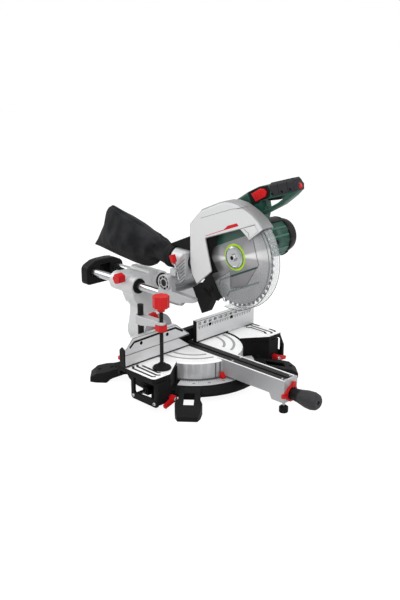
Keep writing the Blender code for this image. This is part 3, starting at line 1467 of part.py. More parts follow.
def blade_and_spindle():
    centre = (BLADE_Y, T + BLADE_RISE)
    teeth = []
    pitch = 360 / BLADE_TEETH
    for i in range(BLADE_TEETH):
        for share, depth in ((0.0, 0.0), (0.22, 0.0018), (0.50, 0.0095), (0.86, 0.0085)):
            angle = -(i + share) * pitch * DEG
            reach = BLADE_RADIUS - depth
            teeth.append((centre[0] - reach * math.cos(angle), centre[1] - reach * math.sin(angle)))
    disc = prism(teeth, X, -BLADE_HALF, BLADE_HALF)
    piece(cut(disc, bore(X, centre, BORE_RADIUS + GAP, -0.1, 0.1, 28)), "blade", "blade", "steel")
    face = -BLADE_HALF - GAP
    flange = turned(
        [
            (BOLT_RADIUS + GAP, face),
            (FLANGE_DISC, face),
            (FLANGE_DISC, face - 0.0022),
            (0.022, face - 0.0050),
            (BOLT_RADIUS + GAP, face - 0.0050),
        ],
        X,
        centre,
        32,
        ring=True,
    )
    piece(flange, "blade_flange", "blade", "steel")
    head = prism(circle(centre, 0.0095, 6), X, face - 0.0050 - GAP - 0.006, face - 0.0050 - GAP)
    shank = rod(X, centre, BOLT_RADIUS, face - 0.008, 0.012, 16)
    piece(joined(head, shank), "blade_bolt", "blade", "steel")
    inner = BLADE_HALF + GAP
    spindle = turned(
        [
            (BOLT_RADIUS + GAP, -BLADE_HALF),
            (BORE_RADIUS, -BLADE_HALF),
            (BORE_RADIUS, inner),
            (FLANGE_DISC, inner),
            (FLANGE_DISC, 0.0065),
            (SPINDLE_RADIUS, 0.0068),
            (SPINDLE_RADIUS, GEARBOX_RIGHT + 0.0020),
            (0, GEARBOX_RIGHT + 0.0020),
            (0, 0.0125),
            (BOLT_RADIUS + GAP, 0.0125),
        ],
        X,
        centre,
        28,
        ring=True,
    )
    piece(spindle, "spindle", "blade", "steel")
    wheel = prism(gear_outline(GEAR_TEETH, centre, 90), X, GEAR_LEFT, GEAR_RIGHT)
    piece(cut(wheel, bore(X, centre, SPINDLE_RADIUS + GAP, 0, 0.1, 20)), "spindle_gear", "blade", "steel")
    motor = (BLADE_Y, T + MOTOR_RISE)
    pinion = prism(
        gear_outline(PINION_TEETH, motor, 270 + 180 / PINION_TEETH),
        X,
        GEAR_LEFT - 0.002,
        GEAR_RIGHT + 0.002,
    )
    shaft = turned(
        [
            (0, GEAR_RIGHT),
            (0.0038, GEAR_RIGHT),
            (0.0038, GEARBOX_RIGHT - 0.004),
            (SHAFT_RADIUS, GEARBOX_RIGHT - 0.003),
            (SHAFT_RADIUS, CORE_LEFT - 0.018),
            (0.036, CORE_LEFT - 0.017),
            (0.036, CORE_LEFT - 0.011),
            (0.008, CORE_LEFT - 0.010),
            (0.008, CORE_LEFT),
            (CORE_RADIUS, CORE_LEFT),
            (CORE_RADIUS, CORE_RIGHT),
            (0.008, CORE_RIGHT),
            (0.008, CORE_RIGHT + 0.012),
            (0.014, CORE_RIGHT + 0.012),
            (0.014, CORE_RIGHT + 0.034),
            (SHAFT_RADIUS, CORE_RIGHT + 0.035),
            (SHAFT_RADIUS, END_CAP_RIGHT - 0.012),
            (0, END_CAP_RIGHT - 0.012),
        ],
        X,
        motor,
        20,
    )
    piece(joined(shaft, pinion), "armature", "armature", "steel")


def lower_guard():
    """The clear guard: a rim, a full right wall that turns on the boss, and a cut-back left wall."""
    centre = (BLADE_Y, T + BLADE_RISE)
    inner = BLADE_RADIUS + GUARD_GAP
    outer = inner + GUARD_WALL
    middle = (inner + outer) / 2
    steps = 30
    rim = arc(centre, outer, GUARD_REAR, GUARD_FRONT, steps) + arc(
        centre, inner, GUARD_FRONT, GUARD_REAR, steps
    )
    solid = prism(rim, X, -GUARD_HALF, GUARD_HALF)
    edge = arc(centre, middle, GUARD_REAR - 0.3, GUARD_FRONT + 0.3, steps)
    hub = arc(centre, BOSS_RADIUS + 0.010, GUARD_FRONT, GUARD_REAR - 360, 20)
    right = prism(edge + hub, X, GUARD_HALF - GUARD_WALL, GUARD_HALF - GAP)
    left = prism(edge + raised(GUARD_WINDOW, T), X, GAP - GUARD_HALF, GUARD_WALL - GUARD_HALF)
    joined(solid, right, left)
    cut(solid, bore(X, centre, BOSS_RADIUS + RUNNING, 0, 0.1, 28))
    piece(solid, "lower_guard", "guard", "clear_plastic")


def main():
    clear_scene()
    make_finishes()
    make_bodies()
    base_casting()
    mitre_scale()
    extension("left", -1)
    extension("right", 1)
    fence()
    clamp()
    turntable()
    grip_and_foot()
    bevel_arm()
    slide()
    head_arm()
    depth_stop()
    blade_cover()
    motor_and_handle()
    deflector()
    dust_bag()
    blade_and_spindle()
    lower_guard()


main()
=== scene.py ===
# %% [markdown]
# # A sliding mitre saw, dressed for a render
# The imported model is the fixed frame: every solid is already at its place and its real size, in
# metres, with +Z up, +X to the operator's right and +Y to the rear. This lesson gives each solid a
# finish and softened edges, and models what a plain solid can't show: the sewn dust bag, the ribbed
# motor, the screw threads, the scales and the small fasteners.

# %% Load the frame
import json
import math
from functools import partialmethod

import bpy
from mathutils import Matrix, Vector, noise


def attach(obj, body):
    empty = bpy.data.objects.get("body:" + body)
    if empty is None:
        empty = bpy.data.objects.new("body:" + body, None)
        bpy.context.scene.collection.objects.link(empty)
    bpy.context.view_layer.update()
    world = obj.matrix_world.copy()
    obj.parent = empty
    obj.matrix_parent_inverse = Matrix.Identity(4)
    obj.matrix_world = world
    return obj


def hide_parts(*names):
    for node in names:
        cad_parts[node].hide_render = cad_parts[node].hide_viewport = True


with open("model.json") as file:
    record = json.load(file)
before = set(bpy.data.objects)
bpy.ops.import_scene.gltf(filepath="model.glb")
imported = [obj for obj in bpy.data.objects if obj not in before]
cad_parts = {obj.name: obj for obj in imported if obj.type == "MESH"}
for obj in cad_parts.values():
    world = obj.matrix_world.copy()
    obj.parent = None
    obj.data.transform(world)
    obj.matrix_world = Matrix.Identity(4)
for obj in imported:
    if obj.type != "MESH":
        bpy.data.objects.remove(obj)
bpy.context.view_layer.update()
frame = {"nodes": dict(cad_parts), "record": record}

NODES = frame["nodes"]
DEG = math.pi / 180
X, Y, Z = "XYZ"
TOP, FENCE_BACK = 0.094, 0.014        # the table's height, and the Y of the fence's rear face

# %% [markdown]
# ## Shader arithmetic
# A material is a graph, and typing graphs node by node hides the idea. So a socket is wrapped in a
# small class whose operators add Math nodes, and one method adds any other node. A finish then reads
# like the sum that it is.

# %% Sockets that can be added and multiplied
class Wire:
    """An output socket of a graph. Python's operators on it add Math nodes."""

    def __init__(self, graph, socket):
        self.graph, self.socket = graph, socket

    def maths(self, operation, other=0.0, swapped=False):
        pair = (other, self) if swapped else (self, other)
        return self.graph.node("ShaderNodeMath", {"operation": operation}, enumerate(pair))

    __add__ = __radd__ = partialmethod(maths, "ADD")
    __mul__ = __rmul__ = partialmethod(maths, "MULTIPLY")
    __sub__ = partialmethod(maths, "SUBTRACT")
    __rsub__ = partialmethod(maths, "SUBTRACT", swapped=True)
    __truediv__ = partialmethod(maths, "DIVIDE")
    __gt__ = partialmethod(maths, "GREATER_THAN")
    __lt__ = partialmethod(maths, "LESS_THAN")


class Graph:
    """A node tree, with a way to add and link its nodes."""

    def __init__(self, tree):
        self.tree = tree

    def node(self, kind, settings=(), sockets=(), out=0):
        """Adds a node: its type, its settings, the values or links of its inputs, and which output."""
        made = self.tree.nodes.new(kind)
        for name, value in dict(settings).items():
            setattr(made, name, value)
        for name, value in dict(sockets).items():
            self.plug(made.inputs[name], value)
        return Wire(self, made.outputs[out])

    def plug(self, socket, value):
        if isinstance(value, Wire):
            self.tree.links.new(value.socket, socket)
        else:
            socket.default_value = (*value, 1) if socket.type == "RGBA" else value


class Finish(Graph):
    """A material under construction: its shader and the patterns that finishes share."""

    def __init__(self, name, constants=()):
        self.material = bpy.data.materials.new(name)
        self.material.use_nodes = True
        super().__init__(self.material.node_tree)
        self.shader = self.tree.nodes["Principled BSDF"]
        for socket, value in dict(constants).items():
            self.shader.inputs[socket].default_value = value
        self.place = self.node("ShaderNodeTexCoord", out="Object")
        self.x, self.y, self.z = self.parts(self.place)
        self.side, self.rear, self.up = self.parts(self.node("ShaderNodeTexCoord", out="Normal"))

    def done(self, colour, **wires):
        """Plugs the colour and the other wires into the shader, and hands over the material."""
        self.plug(self.shader.inputs["Base Color"], colour)
        for name, value in wires.items():
            self.plug(self.shader.inputs[name.capitalize()], value)
        return self.material

    def parts(self, vector):
        """The X, Y and Z of a vector, each as a wire."""
        split = self.node("ShaderNodeSeparateXYZ", sockets={0: vector}).socket.node
        return [Wire(self, output) for output in split.outputs]

    def noise(self, scale, detail=3.0, vector=None):
        sockets = {"Vector": vector or self.place, "Scale": scale, "Detail": detail}
        return self.node("ShaderNodeTexNoise", sockets=sockets)

    def streaks(self, detail, *scale):
        """Noise drawn out by a scale for each axis."""
        return self.noise(1, detail, self.node("ShaderNodeMapping", sockets={0: self.place, "Scale": scale}))

    def clamped(self, value, low, high, soft_low=0.0, soft_high=1.0):
        """A value spread from one range onto another, and held inside it."""
        sockets = {"Value": value, 1: low, 2: high, 3: soft_low, 4: soft_high}
        return self.node("ShaderNodeMapRange", sockets=sockets)

    def colour(self, share, first, second):
        """One colour passing into another by a share from 0 to 1."""
        return self.node("ShaderNodeMix", {"data_type": "RGBA"}, {0: share, 6: first, 7: second}, 2)

    def bump(self, height, depth, strength, after=None):
        sockets = {"Height": height, "Distance": depth, "Strength": strength}
        if after:
            sockets["Normal"] = after
        return self.node("ShaderNodeBump", sockets=sockets)

    def worn_edges(self, width=0.0012):
        """Where the surface turns sharply, from 0 to 1, by comparing two normals."""
        soft = self.node("ShaderNodeBevel", {"samples": 4}, {"Radius": width})
        true = self.node("ShaderNodeNewGeometry", out="Normal")
        lean = self.node("ShaderNodeVectorMath", {"operation": "DOT_PRODUCT"}, {0: soft, 1: true}, 1)
        return self.clamped(lean, 0.98, 0.80)


print("sockets add up")

# %% [markdown]
# ## Camera and light
# A product shot has a white ground, one broad soft lamp from the upper left, weaker ones from the
# right, from above and from behind, and a pale surround for the metal to mirror. The camera stands on
# the operator's left, a little above the saw. The floor is white to the camera and still takes a
# faint shadow.

# %% Camera
def deselect():
    if bpy.context.mode != "OBJECT":
        bpy.ops.object.mode_set(mode="OBJECT")
    bpy.ops.object.select_all(action="DESELECT")


def use(obj):
    deselect()
    obj.select_set(True)
    bpy.context.view_layer.objects.active = obj


deselect()
scene = bpy.context.scene
scene.view_settings.view_transform = "Standard"
CAMERA_PLACE = (-1.4634, -1.4915, 0.8903)
CAMERA_PITCH, CAMERA_YAW, CAMERA_LENS = 17.84, 44.87, 49.92
bpy.ops.object.camera_add(
    location=CAMERA_PLACE, rotation=((90 - CAMERA_PITCH) * DEG, 0, -CAMERA_YAW * DEG)
)
camera = bpy.context.object
camera.data.lens = CAMERA_LENS
camera.data.sensor_width = 36
camera.data.clip_start = 0.05
scene.camera = camera
print("camera at", CAMERA_PLACE)

# %% Lamps and surround
LAMPS = [
    ("key", (-1.5, -1.3, 2.1), 1.5, 37),
    ("side", (1.6, -1.5, 1.3), 1.4, 15),
    ("top", (0.3, 0.5, 2.3), 1.6, 25),
    ("rear", (-0.9, 1.9, 1.4), 1.3, 14),
]
AIM = Vector((0, 0, 0.25))
SURROUND, MIRRORED_MORE = 0.42, 0.30
for name, place, size, power in LAMPS:
    bpy.ops.object.light_add(type="AREA", location=place)
    lamp = bpy.context.object
    lamp.name = "lamp_" + name
    lamp.data.size = size
    lamp.data.energy = power
    lamp.rotation_euler = (AIM - Vector(place)).to_track_quat("-Z", "Y").to_euler()
scene.world = bpy.data.worlds.new("studio")
scene.world.use_nodes = True
sky = Graph(scene.world.node_tree)
seen, through, glossy = [
    sky.node("ShaderNodeLightPath", out=f"Is {ray} Ray") for ray in ("Camera", "Transmission", "Glossy")
]
level = seen.maths("MAXIMUM", through).maths("MAXIMUM", glossy * MIRRORED_MORE + SURROUND)
background = sky.tree.nodes["Background"].inputs
sky.plug(background["Strength"], level)
sky.plug(background["Color"], (1, 1, 1))
print(len(LAMPS), "lamps")

# %% A floor that is white to the camera and keeps a soft shadow
FLOOR_SIZE, FLOOR_DROP = 14, 0.0006
FLOOR_GLOW, GLOW_SHARE = 1.16, 0.80
bpy.ops.mesh.primitive_plane_add(size=1.0, location=(0, 0, -FLOOR_DROP))
floor = bpy.context.object
floor.name = "floor"
bpy.ops.object.mode_set(mode="EDIT")
bpy.ops.transform.resize(value=(FLOOR_SIZE, FLOOR_SIZE, 1))
bpy.ops.object.mode_set(mode="OBJECT")
bpy.ops.object.transform_apply(location=True, rotation=True, scale=True)
ground = Finish("floor_paper", {"Roughness": 0.9})
paper = ground.done(ground.colour(ground.noise(2.0), (0.85, 0.85, 0.85), (0.87, 0.87, 0.87)))
looks = ground.node("ShaderNodeLightPath", out="Is Camera Ray")
glow = ground.node("ShaderNodeEmission", sockets={"Color": (1, 1, 1), "Strength": FLOOR_GLOW})
lit = Wire(ground, ground.shader.outputs[0])
sheet = ground.node("ShaderNodeMixShader", sockets={0: looks * GLOW_SHARE, 1: lit, 2: glow})
ground.plug(ground.tree.nodes["Material Output"].inputs["Surface"], sheet)
floor.data.materials.append(paper)
print("floor laid")

# %% [markdown]
# ## Cast and painted metal
# The base is a black powder-coated casting: a fine orange-peel skin, a little lighter where edges are
# rubbed. Its table tops are milled bare after coating, so one material holds both, told apart by
# height and by which way a face points. Milling leaves fine straight lines. The turntable is silver
# paint and milled in the same way.

# %% Casting, silver paint and pale grey
def milled(f, *scale):
    """Bare aluminium with the fine lines of a mill."""
    lines = f.clamped(f.streaks(2, *scale), 0.3, 0.7)
    return f.colour(lines, (0.90, 0.905, 0.91), (0.97, 0.97, 0.975))


def black_casting():
    """Black powder coat, bare on top faces at the table's height, as far back as the fence."""
    f = Finish("black_casting", {"Specular IOR Level": 0.08})
    bare = (f.up > 0.6) * (f.z > TOP - 0.0012) * (f.z < TOP + 0.0006) * (f.y < FENCE_BACK)
    peel = f.noise(900, 2)
    worn = f.worn_edges() * f.clamped(f.noise(60), 0.45, 0.7)
    coat = f.colour(f.noise(14), (0.006, 0.006, 0.0065), (0.010, 0.010, 0.011))
    coat = f.colour(worn * 0.35, coat, (0.06, 0.06, 0.064))
    return f.done(
        f.colour(bare, coat, milled(f, 18, 1500, 400)),
        roughness=f.clamped(bare, 0, 1, 0.50, 0.34) + 0.08 * peel,
        metallic=bare * 0.08, normal=f.bump(peel, 0.00012, 0.5),
    )


def silver_paint():
    """Aluminium paint: fine flakes in a pale lacquer, with a sand-cast grain below it."""
    f = Finish("silver_paint", {"Coat Weight": 0.15, "Coat Roughness": 0.25})
    flakes, grain = f.noise(2600, 1), f.noise(380, 3)
    base = f.colour(f.noise(12), (0.44, 0.445, 0.455), (0.52, 0.525, 0.535))
    base = f.colour(f.clamped(flakes, 0.60, 0.75) * 0.5, base, (0.66, 0.665, 0.67))
    return f.done(
        f.colour(f.worn_edges() * 0.3, base, (0.72, 0.72, 0.73)), metallic=0.45 + 0.2 * flakes,
        roughness=0.36 + 0.14 * grain, normal=f.bump(grain, 0.0002, 0.25),
    )


def turned_disc():
    """The turntable: silver paint, with its top and the steps round it milled bare."""
    f = Finish("turned_disc", {"Coat Weight": 0.10, "Coat Roughness": 0.3})
    bare = (f.up > 0.6) * (f.z > TOP - 0.0085)
    grain = f.noise(380, 3)
    base = f.colour(f.noise(12), (0.40, 0.405, 0.418), (0.48, 0.485, 0.498))
    return f.done(
        f.colour(bare, base, milled(f, 400, 400, 60)), metallic=f.clamped(bare, 0, 1, 0.50, 0.05),
        roughness=0.34 + 0.14 * grain, normal=f.bump(grain, 0.0002, 0.2),
    )


def pale_grey():
    """The satin light grey of the bevel arm, lightly textured."""
    f = Finish("pale_grey")
    grain = f.noise(1400, 2)
    return f.done(
        f.colour(f.noise(9), (0.60, 0.61, 0.62), (0.66, 0.665, 0.67)), roughness=0.34 + 0.12 * grain,
        metallic=0.12 + 0.06 * f.noise(30), normal=f.bump(grain, 0.0001, 0.3),
    )


print("cast and painted finishes ready")

# %% [markdown]
# ## Bare metal
# The fence is a milled aluminium extrusion with fine lines along its length. Steel comes ground
# (rails, rods) or blackened (the clamp), and the blade is ground in circles, which shows as a fan of
# light; that fan is a painted highlight in the blade's colour, and its gullets get painted shade. So
# the blade's pattern runs on the distance from its own axis, and so do the insides of its cover and
# the rim of its guard.

# %% Fence, steel, blade and cover
BLADE_CENTRE = (0.0, -0.145, TOP + 0.268)
PRINT_LINES = [
    ((-0.0910, 0.184), (-0.0965, 0.201)), ((-0.0960, 0.200), (-0.2210, 0.257)),
    ((-0.1190, 0.161), (-0.1295, 0.177)), ((-0.1290, 0.176), (-0.2250, 0.220)),
]
FAN_TILT = -13.5 * DEG
PRINT_EDGE, PRINT_SLOPE, PRINT_REACH, PRINT_HALF = 0.2506, 0.4316, 0.117, 0.0024
GULLET_IN, TEETH_FROM, TIPS_FROM, GULLET_OUT = 0.100, 0.1180, 0.1246, 0.1262
COVER_INSIDE = (-0.0150, 0.0172)


def fence_aluminium():
    f = Finish("fence_aluminium")
    lines = f.streaks(3, 12, 700, 1800)
    return f.done(
        f.colour(f.clamped(lines, 0.3, 0.7), (0.60, 0.605, 0.615), (0.72, 0.725, 0.73)),
        roughness=0.30 + 0.16 * lines, metallic=0.28 + 0.1 * f.noise(25), normal=f.bump(lines, 0.00006, 0.3),
    )


def ground_steel():
    f = Finish("ground_steel")
    lines = f.streaks(2, 600, 40, 600)
    return f.done(
        f.colour(f.noise(20), (0.40, 0.405, 0.415), (0.52, 0.525, 0.535)), roughness=0.14 + 0.12 * lines,
        metallic=1 - 0.06 * f.noise(40), normal=f.bump(lines, 0.00004, 0.2),
    )


def black_steel():
    """Blackened steel of the clamp's post and screw."""
    f = Finish("black_steel", {"Specular IOR Level": 0.2})
    wear = f.clamped(f.noise(140), 0.55, 0.75)
    return f.done(
        f.colour(wear * 0.5, (0.004, 0.004, 0.0045), (0.020, 0.020, 0.022)),
        roughness=0.32 + 0.18 * f.noise(300), metallic=0.1 + 0.2 * wear,
        normal=f.bump(f.noise(900), 0.00006, 0.3),
    )


def from_blade(f):
    """The distance from the blade's axis, and how far behind and above it a point lies."""
    run, rise = f.y - BLADE_CENTRE[1], f.z - BLADE_CENTRE[2]
    return (run * run + rise * rise).maths("SQRT"), run, rise


def segment(f, start, end, half):
    """1 on a straight stripe between two (Y, Z above the table) points, and 0 beside it."""
    line = Vector(end) - Vector(start)
    run = line.normalized()
    over, up = f.y - start[0], f.z - (TOP + start[1])
    ahead = over * run.x + up * run.y
    aside = up * run.x - over * run.y
    return (ahead > 0) * (ahead < line.length) * (aside > -half) * (aside < half)


def blade_steel():
    """A ground disc with a painted highlight fan, painted shade in its gullets and a green print."""
    f = Finish("blade_steel")
    reach, run, rise = from_blade(f)
    rings = f.noise(1, 2, f.node("ShaderNodeCombineXYZ", sockets={0: reach * 2600}))
    lean = (run * math.cos(FAN_TILT) + rise * math.sin(FAN_TILT)) / (reach + 0.0001)
    # Painted highlight: a broad fan and a bright core of light across the ground rings, in the colour.
    broad_highlight, core_highlight = f.clamped(lean * lean, 0.55, 1.0), f.clamped(lean * lean, 0.972, 0.996)
    disc = f.colour(f.clamped(rings, 0.3, 0.7), (0.235, 0.235, 0.245), (0.315, 0.315, 0.325))
    disc = f.colour(broad_highlight * 0.45, disc, (0.62, 0.62, 0.63))
    disc = f.colour(core_highlight * 0.85, disc, (0.95, 0.95, 0.95))
    # Painted shade: a dark band behind the tips, and dark gullet faces, for the shade in the gullets.
    disc = f.colour(reach > TEETH_FROM, disc, (0.045, 0.045, 0.048))
    disc = f.colour(reach > TIPS_FROM, disc, (0.80, 0.80, 0.81))
    gullet_shade = (f.side * f.side < 0.3) * (reach > GULLET_IN) * (reach < GULLET_OUT)
    disc = f.colour(gullet_shade, disc, (0.010, 0.010, 0.011))
    outer_face = f.side < -0.5
    painted = (f.z + f.y * PRINT_SLOPE > TOP + PRINT_EDGE) * (reach < PRINT_REACH) * outer_face
    lines = sum((segment(f, *line, PRINT_HALF) for line in PRINT_LINES), 0.0) * outer_face
    disc = f.colour(painted, disc, (0.026, 0.085, 0.060))
    return f.done(
        f.colour(lines, disc, (0.006, 0.045, 0.030)),
        metallic=(0.62 + 0.15 * f.noise(30)) * (1 - painted) * (1 - lines) * (1 - gullet_shade),
        roughness=0.34 + 0.14 * rings, normal=f.bump(rings, 0.00005, 0.3),
    )


def cover_paint():
    """The cover: near-white on its flat face, greyer round it by painted shade, and black inside."""
    f = Finish("cover_paint")
    _, run, rise = from_blade(f)
    # Inner walls: black paint, made near black with painted shade on top.
    inwards = (f.rear * run + f.up * rise < -0.0001) + (f.side * f.side > 0.3)
    inside = (f.x > COVER_INSIDE[0]) * (f.x < COVER_INSIDE[1]) * (inwards > 0.5)
    # Painted shade: faces not turned to the left get a darker grey, though the cover is one colour.
    flat = f.clamped(f.side * -1, 0.80, 0.97)
    grain = f.noise(1400, 2)
    coat = f.colour(flat, (0.24, 0.243, 0.248), (0.66, 0.665, 0.67))
    return f.done(
        f.colour(inside, coat, (0.004, 0.004, 0.004)), roughness=0.36 + 0.12 * grain,
        metallic=0.06 * (1 - inside), normal=f.bump(grain, 0.0001, 0.3),
    )


print("metal finishes ready")

# %% [markdown]
# ## Plastics, rubber and cloth
# Moulded plastic is never quite even: a spark-eroded grain breaks its gloss, and edges catch a thin
# light, which is painted into the colour as a highlight. Rubber is the same with less gloss. The guard
# is clear, so most of it lets light through, and its rim looks denser because the eye meets more
# plastic there. The bag is woven nylon.

# %% Moulded and woven finishes
GRIP_NECK = (0.362, 0.368)
GUARD_RIM = 0.1312
THREAD_PITCH, WEAVE_SLANT = 0.0011, 0.35


def moulded(name, dark, light, gloss, shine=0.10, grain_size=1100, grain_depth=0.00012):
    f = Finish(name, {"Specular IOR Level": shine})
    grain = f.noise(grain_size, 2)
    # Painted highlight: edges get a lighter copy of the colour, where they would catch the light.
    edge_light = tuple(min(1.0, part * 1.25 + 0.025) for part in light)
    body = f.colour(f.noise(18), dark, light)
    return f.done(
        f.colour(f.worn_edges(0.0009) * 0.3, body, edge_light),
        roughness=gloss + 0.14 * grain, normal=f.bump(grain, grain_depth, 0.5),
    )


def paint(name, colour, gloss=0.5):
    """A plain coat, uneven by a seventh."""
    f = Finish(name, {"Specular IOR Level": 0.15})
    thin = tuple(min(1.0, part * 1.15) for part in colour)
    return f.done(f.colour(f.noise(60), colour, thin), roughness=gloss + 0.1 * f.noise(300))


def grip_rubber():
    """The mitre grip: a black neck that passes into a dark grey body."""
    f = Finish("grip_rubber", {"Specular IOR Level": 0.18})
    grain = f.noise(800, 2)
    body = f.clamped(f.y * -1, *GRIP_NECK)
    return f.done(
        f.colour(body, (0.004, 0.004, 0.0045), (0.034, 0.034, 0.037)),
        roughness=0.42 + 0.16 * grain, normal=f.bump(grain, 0.00015, 0.4),
    )


def clear_plastic():
    f = Finish("clear_plastic", {"IOR": 1.45, "Specular IOR Level": 0.6})
    rim = from_blade(f)[0] > GUARD_RIM
    scuffs = f.clamped(f.noise(70), 0.5, 0.8)
    return f.done(
        f.colour(scuffs, (0.62, 0.65, 0.66), (0.75, 0.77, 0.78)),
        roughness=0.06 + 0.12 * scuffs, alpha=0.13 + 0.14 * rim + 0.04 * scuffs,
    )


def woven_fabric():
    """Closely woven black nylon: two crossing threads, with a slight sheen."""
    f = Finish("woven_nylon", {"Specular IOR Level": 0.06, "Sheen Weight": 0.03, "Sheen Roughness": 0.5})
    thread = 2 * math.pi / THREAD_PITCH
    across = ((f.y + f.z * WEAVE_SLANT) * thread).maths("SINE")
    down = ((f.z - f.y * WEAVE_SLANT + f.x) * thread).maths("SINE")
    faded = f.clamped(f.noise(22, 4), 0.38, 0.66)
    creases = f.bump(f.noise(55, 4), 0.0016, 0.35)
    return f.done(
        f.colour(faded, (0.009, 0.0095, 0.0105), (0.024, 0.0245, 0.026)),
        roughness=0.72 + 0.12 * f.noise(200), normal=f.bump(across * down, 0.00018, 0.5, creases),
    )


def copper():
    f = Finish("copper_winding")
    turns = f.streaks(1, 2500, 60, 60)
    return f.done(
        f.colour(turns, (0.40, 0.14, 0.05), (0.62, 0.26, 0.10)),
        metallic=0.9 + 0.08 * turns, roughness=0.30 + 0.15 * turns,
    )


print("plastic and cloth finishes ready")

# %% [markdown]
# ## A finish for every slot
# The record gives each solid a material slot, and each slot has a finish of its own name. Some solids
# and most of the small marks have another one, so all of them are kept in one table.

# %% Finishes by name
MOULDED = {
    "black_plastic": ((0.005, 0.005, 0.0055), (0.009, 0.009, 0.0095), 0.38),
    "black_rubber": ((0.008, 0.008, 0.0085), (0.013, 0.013, 0.0135), 0.62, 0.10, 700),
    "red_plastic": ((0.50, 0.004, 0.006), (0.58, 0.007, 0.009), 0.32, 0.25),
    "green_plastic": ((0.010, 0.056, 0.039), (0.014, 0.074, 0.053), 0.33, 0.3),
    # A lighter copy of green_plastic for the motor's ribs: painted highlight.
    "rib_green_highlight": ((0.026, 0.118, 0.090), (0.032, 0.136, 0.104), 0.36, 0.3),
    "dark_grip": ((0.024, 0.024, 0.026), (0.036, 0.036, 0.039), 0.56, 0.10, 800, 0.0002),
    "kerf_grey": ((0.022, 0.022, 0.024), (0.034, 0.034, 0.036), 0.45, 0.10, 600),
}
PAINTS = {
    # Dark grey of joints and grooves, also used as painted shade on the arm's ribs.
    "joint_and_shade_grey": ((0.12, 0.12, 0.125),),
    "band_grey": ((0.33, 0.33, 0.34),),
    # Black paint and print, also used as painted shade on the end face of the right fence.
    "black_paint_and_shade": ((0.006, 0.006, 0.006),),
    "shade_black": ((0.002, 0.002, 0.002), 0.8),
    # Near-black plates drawn where holes, slots and recesses are: painted shade.
    "lime_paint": ((0.38, 0.66, 0.015), 0.4),
    "seam_thread": ((0.040, 0.041, 0.044), 0.8),
    # Opaque grey for the clear guard's beads: painted shade where their edges read grey.
    "guard_bead": ((0.10, 0.105, 0.11), 0.25),
}
FINISHES = {
    "black_cast": black_casting(), "bare_aluminium": fence_aluminium(), "silver_paint": silver_paint(),
    "light_grey": pale_grey(), "steel": ground_steel(), "clear_plastic": clear_plastic(),
    "black_fabric": woven_fabric(), "copper_winding": copper(), "black_steel": black_steel(),
    "blade_steel": blade_steel(), "cover_paint": cover_paint(), "turned_disc": turned_disc(),
    "grip_rubber": grip_rubber(),
}
FINISHES.update((name, moulded(name, *look)) for name, look in MOULDED.items())
FINISHES.update((name, paint(name, *look)) for name, look in PAINTS.items())
print(len(FINISHES), "finishes")

# %% [markdown]
# ## The solids that stay
# A solid's edges are mathematically sharp, and nothing real is: castings and mouldings have a small
# round that catches the light. The meshes of the frame stay untouched, so the rounding is a stack of
# live modifiers: weld the loose triangles, dissolve the flat ones into whole faces, bevel the sharp
# edges, and weight the normals by face so that flat faces stay flat.

# %% Finish and round every solid
SLOT_OF = {row["node"]: row["material_slot"] for row in frame["record"]["subparts"]}
OWN_FINISH = {
    "blade": "blade_steel",
    "blade_cover": "cover_paint",
    "clamp_post": "black_steel",
    "clamp_screw": "black_steel",
    "head_pivot_pin": "black_steel",
    "kerf_plate_left": "kerf_grey",
    "kerf_plate_right": "kerf_grey",
    "mitre_grip": "grip_rubber",
    "turntable": "turned_disc",
}
ROUNDED = [
    (0.0, "blade motor_housing"),
    (0.0003, "lower_guard"),
    (0.0006, "turntable"),
    (0.0008, "mitre_grip"),
    (0.0010, "bevel_arm left_extension_frame right_extension_frame"),
    (0.0012, "base_casting head_arm head_bracket"),
    (0.0014, "clamp_knob rail_lock_knob chip_deflector"),
    (0.0015, "clamp_arm"),
    (0.0030, "rear_cap cable_cover"),
    (0.0034, "blade_cover"),
]
ROUND_OF = {name: width for width, names in ROUNDED for name in names.split()}
PLAIN_ROUND = 0.0005
SHARP, FLAT = 34 * DEG, 0.5 * DEG


def modifier(obj, kind, **settings):
    made = obj.modifiers.new(kind.lower(), kind)
    for name, value in settings.items():
        setattr(made, name, value)
    return made


def round_edges(obj, width):
    modifier(obj, "WELD", merge_threshold=1e-5)
    modifier(obj, "DECIMATE", decimate_type="DISSOLVE", angle_limit=FLAT)
    if width:
        modifier(
            obj, "BEVEL", width=width, segments=2, limit_method="ANGLE", angle_limit=SHARP,
            use_clamp_overlap=False,
        )
    modifier(obj, "WEIGHTED_NORMAL", keep_sharp=True, weight=90)


for name, obj in NODES.items():
    obj.data.materials.clear()
    obj.data.materials.append(FINISHES[OWN_FINISH.get(name) or SLOT_OF[name]])
    use(obj)
    bpy.ops.object.shade_smooth_by_angle(angle=SHARP)
    round_edges(obj, ROUND_OF.get(name, PLAIN_ROUND))
print(len(NODES), "solids finished")

# %% [markdown]
# ## Tools for new pieces
# Most of what is left to model is one of four shapes: a plate cut to an outline, a turned part, a skin
# stretched over a row of rings, or a tube along a path. Each tool starts from a primitive, moves its
# points to the real places and extrudes, spins or fills from there. The last tools give a piece its
# finish, hang it on the body that carries it and hide the solids that it stands for.

# %% Mesh tools
AXES = {X: Vector((1, 0, 0)), Y: Vector((0, 1, 0)), Z: Vector((0, 0, 1))}
MERGE = 2e-6


def along(axis, a, b, t):
    """A point from its two coordinates across an axis and its place along it."""
    return {X: (t, a, b), Y: (a, t, b), Z: (a, b, t)}[axis]


